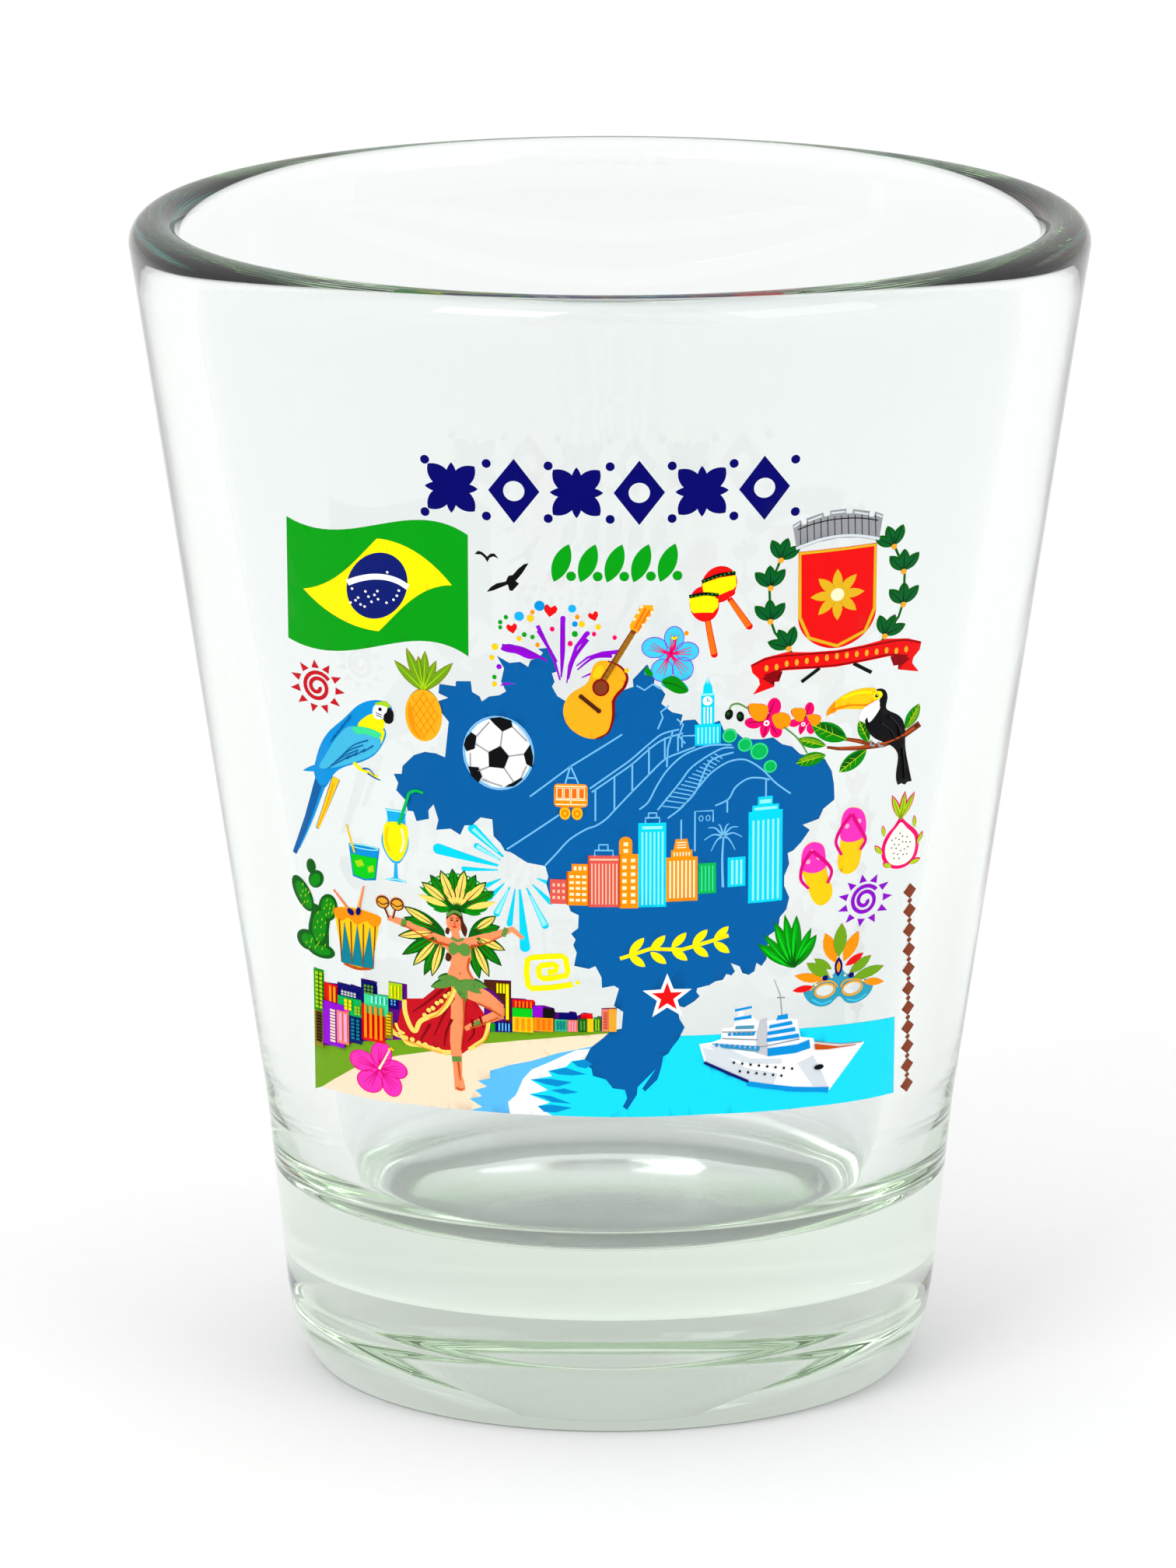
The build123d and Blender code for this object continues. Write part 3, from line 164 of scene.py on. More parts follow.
def screen_print_group():
    """The screen-printed look: colour mottle, mesh texture, pinholes of shine, and a fine orange peel."""
    tree, given, put = group_tree(
        "screen_print",
        (
            ("Color", "NodeSocketColor", (1, 1, 1, 1)),
            ("Mottle", "NodeSocketFloat", 0.06),
            ("Shine", "NodeSocketFloat", 0.38),
        ),
        (("Color", "NodeSocketColor"), ("Roughness", "NodeSocketFloat"), ("Height", "NodeSocketFloat")),
    )
    place = node(tree, "ShaderNodeTexCoord").outputs["Object"]
    cloud = noise(tree, place, 260.0)
    grain = noise(tree, place, 5200.0, 2.0)
    mesh_weave = node(tree, "ShaderNodeTexVoronoi", distance="CHEBYCHEV")
    mesh_weave.inputs["Scale"].default_value = 6500.0
    mesh_weave.inputs["Randomness"].default_value = 0.35
    tree.links.new(place, mesh_weave.inputs["Vector"])
    shade = node(tree, "ShaderNodeMath", operation="MULTIPLY_ADD")
    tree.links.new(cloud.outputs["Fac"], shade.inputs[0])
    tree.links.new(given.outputs["Mottle"], shade.inputs[1])
    shade.inputs[2].default_value = 0.97
    speckle = node(tree, "ShaderNodeMath", operation="MULTIPLY_ADD")
    tree.links.new(grain.outputs["Fac"], speckle.inputs[0])
    tree.links.new(given.outputs["Mottle"], speckle.inputs[1])
    tree.links.new(shade.outputs[0], speckle.inputs[2])
    toned = node(tree, "ShaderNodeVectorMath", operation="SCALE")
    tree.links.new(given.outputs["Color"], toned.inputs[0])
    tree.links.new(speckle.outputs[0], toned.inputs["Scale"])
    tree.links.new(toned.outputs[0], put.inputs["Color"])
    dull = node(tree, "ShaderNodeMath", operation="ADD")
    tree.links.new(remap(tree, cloud.outputs["Fac"], 0.3, 0.7, -0.06, 0.08), dull.inputs[0])
    tree.links.new(given.outputs["Shine"], dull.inputs[1])
    tree.links.new(dull.outputs[0], put.inputs["Roughness"])
    peel = node(tree, "ShaderNodeMath", operation="ADD")
    tree.links.new(grain.outputs["Fac"], peel.inputs[0])
    tree.links.new(mesh_weave.outputs["Distance"], peel.inputs[1])
    tree.links.new(peel.outputs[0], put.inputs["Height"])
    return tree


SCREEN_PRINT = screen_print_group()


def enamel(name):
    """Fired enamel of one pigment."""
    label = "enamel_" + name
    if label in bpy.data.materials:
        return bpy.data.materials[label]
    made = bpy.data.materials.new(label)
    made.use_nodes = True
    tree = made.node_tree
    face = tree.nodes["Principled BSDF"]
    print_look = node(tree, "ShaderNodeGroup", node_tree=SCREEN_PRINT)
    print_look.inputs["Color"].default_value = pigment(name)
    print_look.inputs["Mottle"].default_value = 0.05
    print_look.inputs["Shine"].default_value = 0.4
    bump = node(tree, "ShaderNodeBump")
    bump.inputs["Strength"].default_value = 0.12
    bump.inputs["Distance"].default_value = 0.00002
    tree.links.new(print_look.outputs["Color"], face.inputs["Base Color"])
    tree.links.new(print_look.outputs["Roughness"], face.inputs["Roughness"])
    tree.links.new(print_look.outputs["Height"], bump.inputs["Height"])
    tree.links.new(bump.outputs["Normal"], face.inputs["Normal"])
    face.inputs["Specular IOR Level"].default_value = 0.05
    made.diffuse_color = pigment(name)
    return made


# ---- flat drawing: a patch is (points, faces) in the plane of the picture ----
def poly(*points):
    """A closed outline with straight sides."""
    return list(points), [list(range(len(points)))]


def soft(*points, steps=5):
    """A closed outline rounded through its points."""
    return poly(*rounded(points, steps, True))


def rounded(points, steps=5, closed=False):
    """Points of a smooth line through the given ones."""
    count = len(points)
    line = []
    for i in range(count if closed else count - 1):
        if closed:
            a, b, c, d = (points[(i + k) % count] for k in (-1, 0, 1, 2))
        else:
            a, b, c, d = (points[min(max(i + k, 0), count - 1)] for k in (-1, 0, 1, 2))
        for step in range(steps):
            t = step / steps
            line.append(tuple(catmull(a[k], b[k], c[k], d[k], t) for k in (0, 1)))
    if not closed:
        line.append(tuple(points[-1]))
    return line


def catmull(a, b, c, d, t):
    return 0.5 * (
        2 * b + (c - a) * t + (2 * a - 5 * b + 4 * c - d) * t * t + (3 * b - a - 3 * c + d) * t**3
    )


def oval(x, y, across, high=None, turn=0.0, sides=20):
    """An ellipse by its half sizes, turned anticlockwise in degrees."""
    high = high or across
    c, s = math.cos(math.radians(turn)), math.sin(math.radians(turn))
    points = []
    for i in range(sides):
        u = across * math.cos(2 * math.pi * i / sides)
        v = high * math.sin(2 * math.pi * i / sides)
        points.append((x + c * u - s * v, y + s * u + c * v))
    return poly(*points)


def dot(x, y, radius):
    return oval(x, y, radius, sides=12)


def block(left, low, right, high):
    return poly((left, low), (right, low), (right, high), (left, high))


def leaf(root, tip, width, steps=5):
    """A pointed lens from root to tip."""
    dx, dy = tip[0] - root[0], tip[1] - root[1]
    length = math.hypot(dx, dy)
    left, right = [], []
    for i in range(1, steps):
        t = i / steps
        half = width / 2 * math.sin(math.pi * t) ** 0.8
        x, y = root[0] + dx * t, root[1] + dy * t
        left.append((x - dy / length * half, y + dx / length * half))
        right.append((x + dy / length * half, y - dx / length * half))
    return poly(root, *right, tip, *reversed(left))


def stroke(points, width, end=None, closed=False):
    """A line of even or tapering width, as a strip of quads."""
    end = width if end is None else end
    count = len(points)
    strip, faces = [], []
    for i, (x, y) in enumerate(points):
        before = points[(i - 1) % count if closed else max(i - 1, 0)]
        after = points[(i + 1) % count if closed else min(i + 1, count - 1)]
        dx, dy = after[0] - before[0], after[1] - before[1]
        length = math.hypot(dx, dy) or 1.0
        half = (width + (end - width) * i / max(count - 1, 1)) / 2
        strip.append((x - dy / length * half, y + dx / length * half))
        strip.append((x + dy / length * half, y - dx / length * half))
    for i in range(count if closed else count - 1):
        k = (i + 1) % count
        faces.append([2 * i, 2 * i + 1, 2 * k + 1, 2 * k])
    return strip, faces


def curve(points, width, end=None):
    """A smooth line of even or tapering width."""
    return stroke(rounded(points, 5), width, end)


def ring(patch, width):
    """A line around the edge of an outline."""
    return stroke(patch[0], width, closed=True)


def toward(start, reach, turn):
    """The point at a reach and an angle in degrees from a start."""
    a = math.radians(turn)
    return start[0] + reach * math.cos(a), start[1] + reach * math.sin(a)


def between(start, end, share):
    """The point at a share of the way from start to end."""
    return start[0] + (end[0] - start[0]) * share, start[1] + (end[1] - start[1]) * share


# ---- from flat drawing to enamel on the wall ----
def cut_to_grid(bm):
    """Cuts long faces so that they can follow the wall."""
    across = [v.co.x for v in bm.verts]
    up = [v.co.z for v in bm.verts]
    for axis, low, high, pitch in ((0, min(across), max(across), CUT), (2, min(up), max(up), 2 * CUT)):
        for i in range(math.floor(low / pitch) + 1, math.ceil(high / pitch)):
            where, facing = Vector((0, 0, 0)), Vector((0, 0, 0))
            where[axis], facing[axis] = i * pitch, 1.0
            bmesh.ops.bisect_plane(
                bm, geom=[*bm.verts, *bm.edges, *bm.faces], dist=0.0001, plane_co=where, plane_no=facing
            )


def flat_sheet(patches):
    """All patches of one coat as a flat cut sheet that faces the viewer of the picture."""
    sheet = bmesh.new()
    for points, faces in patches:
        verts = [sheet.verts.new((x, 0, y)) for x, y in points]
        for corners in faces:
            sheet.faces.new([verts[k] for k in corners])
    bmesh.ops.triangulate(sheet, faces=[f for f in sheet.faces if len(f.verts) > 4])
    cut_to_grid(sheet)
    bmesh.ops.triangulate(sheet, faces=sheet.faces)
    sheet.normal_update()
    bmesh.ops.reverse_faces(sheet, faces=[f for f in sheet.faces if f.normal.y > 0])
    return sheet


def lay_coat(target, patches, level, ink_index):
    """Adds patches to the piece as closed slabs of enamel, as many coats up as level says."""
    sheet = flat_sheet(patches)
    top, foot = {}, {}
    for v in sheet.verts:
        top[v] = target.verts.new(on_wall(v.co.x, v.co.z, FILM + COAT * level))
        foot[v] = target.verts.new(on_wall(v.co.x, v.co.z, -BITE / 2))
    for face in sheet.faces:
        made = [target.faces.new([top[v] for v in face.verts])]
        made.append(target.faces.new([foot[v] for v in reversed(face.verts)]))
        for loop in face.loops:
            if loop.edge.is_boundary:
                a, b = loop.vert, loop.link_loop_next.vert
                made.append(target.faces.new([top[b], top[a], foot[a], foot[b]]))
        for f in made:
            f.material_index = ink_index
    sheet.free()


def ground_coat(name):
    """The CAD film of a print, cut fine and sunk a little into the glass."""
    bm = bmesh.new()
    bm.from_mesh(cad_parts[name].data)
    bmesh.ops.remove_doubles(bm, verts=bm.verts, dist=1e-7)
    bmesh.ops.scale(bm, vec=(1 / MM,) * 3, verts=bm.verts)
    cut_to_grid(bm)
    bm.normal_update()
    outer = {}
    for v in bm.verts:
        away = Vector((v.co.x, v.co.y, 0)).normalized()
        facing = [face.normal.dot(away) for face in v.link_faces]
        if max(facing) > FACING or min(facing) < -FACING:
            outer[v] = max(facing) > -min(facing)
        else:
            outer[v] = away.dot(v.co) > wall_radius(v.co.z) + FILM / 2
    for v, is_outer in outer.items():
        v.co = on_wall(v.co.x, v.co.z, FILM if is_outer else -BITE)
    return bm


def enamel_print(name, ground, coats=(), extra=()):
    """One print: its ground colour over the whole CAD film, then coats of (pigment, patches)."""
    bm = ground_coat(name)
    inks = [ground]
    for level, (ink, patches) in enumerate(coats, start=1):
        if ink not in inks:
            inks.append(ink)
        lay_coat(bm, patches, level, inks.index(ink))
    for ink, tile_mesh in extra:
        if ink not in inks:
            inks.append(ink)
        add_mesh(bm, tile_mesh, inks.index(ink))
    mesh = bpy.data.meshes.new(name)
    for face in bm.faces:
        face.smooth = True
    bm.to_mesh(mesh)
    bm.free()
    mesh.set_sharp_from_angle(angle=CREASE)
    for ink in inks:
        mesh.materials.append(enamel(ink))
    piece = bpy.data.objects.new(name + "_enamel", mesh)
    bpy.context.scene.collection.objects.link(piece)
    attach(piece, "root")
    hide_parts(name)
    return piece


def add_mesh(bm, mesh, ink_index):
    """Adds a finished mesh to the piece in one ink."""
    before = len(bm.faces)
    bm.from_mesh(mesh)
    bm.faces.ensure_lookup_table()
    for face in bm.faces[before:]:
        face.material_index = ink_index


# ---- glass ----
def arc(points, centre, radius, start, end, steps):
    """Adds points of a round corner to a profile; angles in degrees."""
    for i in range(steps + 1):
        a = math.radians(start + (end - start) * i / steps)
        points.append((centre[0] + radius * math.cos(a), centre[1] + radius * math.sin(a)))


def softened(points, corner, before, after, reach, steps=5):
    """Adds a small rounded corner between two straight runs."""
    a = Vector(corner) + (Vector(before) - Vector(corner)).normalized() * reach
    b = Vector(corner) + (Vector(after) - Vector(corner)).normalized() * reach
    for i in range(steps + 1):
        t = i / steps
        here = a.lerp(Vector(corner), t).lerp(Vector(corner).lerp(b, t), t)
        points.append((here.x, here.y))


def run(points, end, steps):
    """Adds a straight run up to, not including, its end."""
    start = Vector(points[-1])
    for i in range(1, steps):
        here = start.lerp(Vector(end), i / steps)
        points.append((here.x, here.y))


def glass_profile():
    """Half section of the glass from the middle of the floor round to the middle of the foot."""
    lean = (RIM_RADIUS - RIM_WALL - FLOOR_RADIUS) / (RIM_START - FLOOR_HEIGHT)
    wall_angle = math.degrees(math.atan2(1, lean))
    points = [(0.0, FLOOR_HEIGHT)]
    turn = 180 - wall_angle
    setback = FLOOR_FILLET / math.tan(math.radians(turn / 2))
    centre = (FLOOR_RADIUS - setback, FLOOR_HEIGHT + FLOOR_FILLET)
    run(points, (centre[0], FLOOR_HEIGHT), 12)
    arc(points, centre, FLOOR_FILLET, -90, wall_angle - 90, 10)
    run(points, (RIM_RADIUS - RIM_WALL, RIM_START), WALL_STEPS)
    half = RIM_WALL / 2
    arc(points, (RIM_RADIUS - half, RIM_START), half, 180, 0, 18)
    waist = (WAIST_RADIUS, WAIST_HEIGHT)
    heel = (HEEL_RADIUS, HEEL_HEIGHT)
    run(points, waist, WALL_STEPS)
    softened(points, waist, (RIM_RADIUS, RIM_START), heel, WAIST_SOFT)
    run(points, heel, 8)
    heel_middle = Vector(((HEEL_RADIUS + FOOT_RADIUS) / 2 + HEEL_BULGE, HEEL_HEIGHT / 2 - HEEL_BULGE))
    softened(points, heel, waist, heel_middle, HEEL_SOFT)
    bow(points, heel_middle, (FOOT_RADIUS, 0.0), 8)
    softened(points, (FOOT_RADIUS, 0.0), heel_middle, (PUNT_RADIUS, 0.0), FOOT_SOFT)
    run(points, (PUNT_RADIUS, 0.0), 4)
    ball = (PUNT_RADIUS**2 + PUNT_DEPTH**2) / (2 * PUNT_DEPTH)
    for i in range(PUNT_STEPS + 1):
        r = PUNT_RADIUS * (1 - i / PUNT_STEPS)
        points.append((r, math.sqrt(ball * ball - r * r) - (ball - PUNT_DEPTH)))
    return points


def bow(points, middle, end, steps):
    """Adds the lower part of the heel's curve, up to its end."""
    start = Vector(points[-1])
    over = 2 * Vector(middle) - (start + Vector(end)) / 2
    for i in range(1, steps):
        t = i / steps
        here = start.lerp(over, t).lerp(over.lerp(Vector(end), t), t)
        points.append((here.x, here.y))


def named_input(tree, label, kind, value=None):
    made = tree.interface.new_socket(label, in_out="INPUT", socket_type=kind)
    if value is not None:
        made.default_value = value
    return made.identifier


def maths(tree, operation, *values):
    """A Math node; each value is a number or a socket."""
    made = node(tree, "ShaderNodeMath", operation=operation)
    for i, value in enumerate(values):
        if isinstance(value, (int, float)):
            made.inputs[i].default_value = value
        else:
            tree.links.new(value, made.inputs[i])
    return made.outputs[0]


def turned_form_tree():
    """Turns a half section, given as a line of points, about the upright axis."""
    tree = bpy.data.node_groups.new("turned_form", "GeometryNodeTree")
    named_input(tree, "Section", "NodeSocketGeometry")
    sockets = {
        "Segments": named_input(tree, "Segments", "NodeSocketInt", SEGMENTS),
        "Finish": named_input(tree, "Finish", "NodeSocketMaterial"),
    }
    tree.interface.new_socket("Form", in_out="OUTPUT", socket_type="NodeSocketGeometry")
    given, put = node(tree, "NodeGroupInput"), node(tree, "NodeGroupOutput")
    size = node(tree, "GeometryNodeAttributeDomainSize")
    tree.links.new(given.outputs["Section"], size.inputs[0])
    count = size.outputs["Point Count"]
    grid = node(tree, "GeometryNodeMeshGrid")
    tree.links.new(maths(tree, "ADD", given.outputs["Segments"], 1), grid.inputs["Vertices X"])
    tree.links.new(count, grid.inputs["Vertices Y"])
    index = node(tree, "GeometryNodeInputIndex").outputs[0]
    step = maths(tree, "FLOOR", maths(tree, "DIVIDE", index, count))
    angle = maths(tree, "DIVIDE", maths(tree, "MULTIPLY", step, 2 * math.pi), given.outputs["Segments"])
    place = node(tree, "GeometryNodeSampleIndex", data_type="FLOAT_VECTOR")
    tree.links.new(given.outputs["Section"], place.inputs["Geometry"])
    tree.links.new(node(tree, "GeometryNodeInputPosition").outputs[0], place.inputs["Value"])
    tree.links.new(maths(tree, "MODULO", index, count), place.inputs["Index"])
    turn = node(tree, "ShaderNodeVectorRotate", rotation_type="Z_AXIS")
    tree.links.new(place.outputs["Value"], turn.inputs["Vector"])
    tree.links.new(angle, turn.inputs["Angle"])
    move = node(tree, "GeometryNodeSetPosition")
    tree.links.new(grid.outputs["Mesh"], move.inputs["Geometry"])
    tree.links.new(turn.outputs[0], move.inputs["Position"])
    weld = node(tree, "GeometryNodeMergeByDistance")
    weld.inputs["Distance"].default_value = 1e-7
    tree.links.new(move.outputs[0], weld.inputs["Geometry"])
    finish_tree(tree, weld.outputs[0], given.outputs["Finish"], put)
    return tree, sockets


def finish_tree(tree, form, finish, put):
    """Every tree ends in real geometry with its material set."""
    real = node(tree, "GeometryNodeRealizeInstances")
    tree.links.new(form, real.inputs[0])
    coat = node(tree, "GeometryNodeSetMaterial")
    tree.links.new(real.outputs[0], coat.inputs["Geometry"])
    tree.links.new(finish, coat.inputs["Material"])
    tree.links.new(coat.outputs[0], put.inputs[0])


def baked(source, tree, sockets, values):
    """The plain mesh that a tree makes from a source mesh."""
    holder = bpy.data.objects.new("form", source)
    bpy.context.scene.collection.objects.link(holder)
    modifier = holder.modifiers.new("form", "NODES")
    modifier.node_group = tree
    for label, value in values.items():
        modifier[sockets[label]] = value
    shown = holder.evaluated_get(bpy.context.evaluated_depsgraph_get())
    mesh = bpy.data.meshes.new_from_object(shown)
    bpy.data.objects.remove(holder)
    return mesh


def clear_glass():
    """Pressed soda-lime glass: slightly green, faintly wavy, with a pebbled floor and foot."""
    made = bpy.data.materials.new("clear_glass")
    made.use_nodes = True
    tree = made.node_tree
    face = tree.nodes["Principled BSDF"]
    face.inputs["Transmission Weight"].default_value = 1.0
    face.inputs["IOR"].default_value = 1.5
    face.inputs["Base Color"].default_value = (0.925, 0.942, 0.945, 1.0)
    depth = node(tree, "ShaderNodeVolumeAbsorption")
    depth.inputs["Color"].default_value = (0.84, 0.9, 0.82, 1.0)
    depth.inputs["Density"].default_value = 42.0
    tree.links.new(depth.outputs[0], tree.nodes["Material Output"].inputs["Volume"])
    place = node(tree, "ShaderNodeTexCoord").outputs["Object"]
    wave = noise(tree, place, 70.0, 2.0)
    pebble = noise(tree, place, 2600.0, 3.0)
    up = node(tree, "ShaderNodeSeparateXYZ")
    tree.links.new(place, up.inputs[0])
    across = node(tree, "ShaderNodeVectorMath", operation="LENGTH")
    flat = node(tree, "ShaderNodeVectorMath", operation="MULTIPLY")
    flat.inputs[1].default_value = (1, 1, 0)
    tree.links.new(place, flat.inputs[0])
    tree.links.new(flat.outputs[0], across.inputs[0])
    inward = remap(tree, across.outputs["Value"], 0.0125, 0.0115, 0.0, 1.0)
    low = remap(tree, up.outputs["Z"], 0.0105, 0.0096, 0.0, 1.0)
    patch = maths(tree, "MULTIPLY", inward, low)
    rough = remap(tree, patch, 0.0, 1.0, 0.0, 0.12)
    tree.links.new(rough, face.inputs["Roughness"])
    height = maths(
        tree,
        "ADD",
        maths(tree, "MULTIPLY", wave.outputs["Fac"], 0.5),
        maths(tree, "MULTIPLY", maths(tree, "MULTIPLY", pebble.outputs["Fac"], patch), 0.22),
    )
    bump = node(tree, "ShaderNodeBump")
    bump.inputs["Strength"].default_value = 0.16
    bump.inputs["Distance"].default_value = 0.0002
    tree.links.new(height, bump.inputs["Height"])
    tree.links.new(bump.outputs["Normal"], face.inputs["Normal"])
    return made


def glass_piece():
    """The tumbler, turned from its half section."""
    section = bpy.data.meshes.new("section")
    points = glass_profile()
    section.from_pydata(
        [(r * MM, 0, h * MM) for r, h in points], [(i, i + 1) for i in range(len(points) - 1)], []
    )
    tree, sockets = turned_form_tree()
    mesh = baked(section, tree, sockets, {"Segments": SEGMENTS, "Finish": clear_glass()})
    bm = bmesh.new()
    bm.from_mesh(mesh)
    bmesh.ops.remove_doubles(bm, verts=bm.verts, dist=1e-7)
    bmesh.ops.recalc_face_normals(bm, faces=bm.faces)
    for face in bm.faces:
        face.smooth = True
    bm.to_mesh(mesh)
    bm.free()
    mesh.name = "tumbler"
    piece = bpy.data.objects.new("tumbler_glass", mesh)
    bpy.context.scene.collection.objects.link(piece)
    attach(piece, "root")
    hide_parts("glass_body")
    return piece


# ---- studio ----
SKY = 0.72  # strength of the surround straight behind
SIDE_SHADE = 1.15
FRONT_SHADE = 0.72
TOP_SHADE = 1.08
KEY = 3.2  # watts of the larger soft box
BOUNCES = 24  # the thick base passes light on through many surfaces
GLASS_MIDDLE = (0, 0, 0.03)
FLOOR_REACH = 4.0
FLOOR_DROP = 0.00005
LENS_LENGTH = 218.96
LENS_SHIFT = (-0.0140, 0.0016)
CAMERA_PLACE = (0.0, -0.47807, 0.14467)
CAMERA_LOOKS_DOWN = 13.49  # degrees


def studio_floor():
    mesh = bpy.data.meshes.new("studio_floor")
    bm = bmesh.new()
    bmesh.ops.create_circle(bm, cap_ends=True, segments=96, radius=FLOOR_REACH)
    bm.to_mesh(mesh)
    bm.free()
    floor = bpy.data.objects.new("studio_floor", mesh)
    floor.location.z = -FLOOR_DROP
    bpy.context.scene.collection.objects.link(floor)
    paper = bpy.data.materials.new("white_paper")
    paper.use_nodes = True
    tree = paper.node_tree
    face = tree.nodes["Principled BSDF"]
    place = node(tree, "ShaderNodeTexCoord").outputs["Object"]
    fibre = noise(tree, place, 900.0)
    tone = node(tree, "ShaderNodeMix", data_type="RGBA")
    tone.inputs["A"].default_value = (0.955, 0.955, 0.955, 1)
    tone.inputs["B"].default_value = (0.98, 0.98, 0.98, 1)
    tree.links.new(fibre.outputs["Fac"], tone.inputs["Factor"])
    tree.links.new(tone.outputs["Result"], face.inputs["Base Color"])
    face.inputs["Roughness"].default_value = 0.9
    face.inputs["Specular IOR Level"].default_value = 0.0
    mesh.materials.append(paper)


def soft_box(name, place, aim, size, power):
    """A square soft light that faces a point."""
    lamp = bpy.data.lights.new(name, "AREA")
    lamp.shape = "RECTANGLE"
    lamp.size = lamp.size_y = size
    lamp.energy = power
    holder = bpy.data.objects.new(name, lamp)
    holder.location = place
    holder.rotation_euler = (Vector(aim) - Vector(place)).to_track_quat("-Z", "Y").to_euler()
    bpy.context.scene.collection.objects.link(holder)
    return holder


def studio_world():
    """A pale surround, brightest overhead and greyest in front."""
    world = bpy.data.worlds.new("studio")
    bpy.context.scene.world = world
    world.use_nodes = True
    tree = world.node_tree
    back = tree.nodes["Background"]
    ray = node(tree, "ShaderNodeTexCoord").outputs["Generated"]
    parts = node(tree, "ShaderNodeSeparateXYZ")
    tree.links.new(ray, parts.inputs[0])
    side = maths(tree, "ABSOLUTE", parts.outputs["X"])
    shade = remap(tree, side, 0.35, 0.95, SKY, SKY * SIDE_SHADE)
    front = remap(tree, parts.outputs["Y"], 0.3, -0.8, 1.0, FRONT_SHADE)
    high = remap(tree, parts.outputs["Z"], 0.25, 0.8, 0.0, 1.0)
    dim = maths(tree, "MULTIPLY", shade, front)
    lit = node(tree, "ShaderNodeMix", data_type="FLOAT")
    tree.links.new(high, lit.inputs["Factor"])
    tree.links.new(dim, lit.inputs["A"])
    lit.inputs["B"].default_value = TOP_SHADE
    tree.links.new(lit.outputs["Result"], back.inputs["Strength"])
    back.inputs["Color"].default_value = (1.0, 1.0, 1.0, 1.0)
    return world


def camera():
    lens = bpy.data.cameras.new("camera")
    lens.sensor_width = 36.0
    lens.sensor_fit = "AUTO"
    lens.lens = LENS_LENGTH
    lens.shift_x, lens.shift_y = LENS_SHIFT
    lens.clip_start, lens.clip_end = 0.01, 20.0
    holder = bpy.data.objects.new("camera", lens)
    holder.location = CAMERA_PLACE
    holder.rotation_euler = (math.radians(90 - CAMERA_LOOKS_DOWN), 0, 0)
    bpy.context.scene.collection.objects.link(holder)
    bpy.context.scene.camera = holder


def studio():
    studio_floor()
    studio_world()
    camera()
    cycles = bpy.context.scene.cycles
    cycles.max_bounces = BOUNCES
    cycles.transmission_bounces = BOUNCES
    cycles.glossy_bounces = BOUNCES
    bpy.context.scene.view_settings.view_transform = "Standard"
    soft_box("key", (-0.45, -0.75, 0.8), GLASS_MIDDLE, 0.5, KEY)
    soft_box("fill", (0.7, -0.6, 0.5), GLASS_MIDDLE, 0.6, KEY * 0.5)


# ---- small things in rows ----
TILE_VALUES = (
    ("Left", 0.0), ("Low", 0.0), ("Right", 1.0), ("High", 1.0), ("Fill Across", 0.6), ("Fill Up", 0.6),
    ("Proud", 0.1), ("Sunk", 0.01), ("Waist Radius", WAIST_RADIUS), ("Waist Height", WAIST_HEIGHT),
    ("Flare", FLARE),
)


def flat_rows(tree, value):
    """Tiles in rows and columns, spread evenly over the flat box."""
    pitch_x = maths(tree, "DIVIDE", maths(tree, "SUBTRACT", value["Right"], value["Left"]),
        value["Columns"])
    pitch_z = maths(tree, "DIVIDE", maths(tree, "SUBTRACT", value["High"], value["Low"]), value["Rows"])
    index = node(tree, "GeometryNodeInputIndex").outputs[0]
    column = maths(tree, "ADD", maths(tree, "MODULO", index, value["Columns"]), 0.5)
    row = maths(tree, "ADD", maths(tree, "FLOOR", maths(tree, "DIVIDE", index, value["Columns"])), 0.5)
    spot = node(tree, "ShaderNodeCombineXYZ")
    tree.links.new(maths(tree, "MULTIPLY_ADD", column, pitch_x, value["Left"]), spot.inputs["X"])
    tree.links.new(maths(tree, "MULTIPLY_ADD", row, pitch_z, value["Low"]), spot.inputs["Z"])
    points = node(tree, "GeometryNodePoints")
    tree.links.new(maths(tree, "MULTIPLY", value["Columns"], value["Rows"]), points.inputs["Count"])
    tree.links.new(spot.outputs[0], points.inputs["Position"])
    tile = node(tree, "GeometryNodeMeshCube")
    extent = node(tree, "ShaderNodeCombineXYZ")
    tree.links.new(maths(tree, "MULTIPLY", pitch_x, value["Fill Across"]), extent.inputs["X"])
    extent.inputs["Y"].default_value = 1.0
    tree.links.new(maths(tree, "MULTIPLY", pitch_z, value["Fill Up"]), extent.inputs["Z"])
    tree.links.new(extent.outputs[0], tile.inputs["Size"])
    spread = node(tree, "GeometryNodeInstanceOnPoints")
    tree.links.new(points.outputs[0], spread.inputs["Points"])
    tree.links.new(tile.outputs["Mesh"], spread.inputs["Instance"])
    real = node(tree, "GeometryNodeRealizeInstances")
    tree.links.new(spread.outputs[0], real.inputs[0])
    return real.outputs[0]


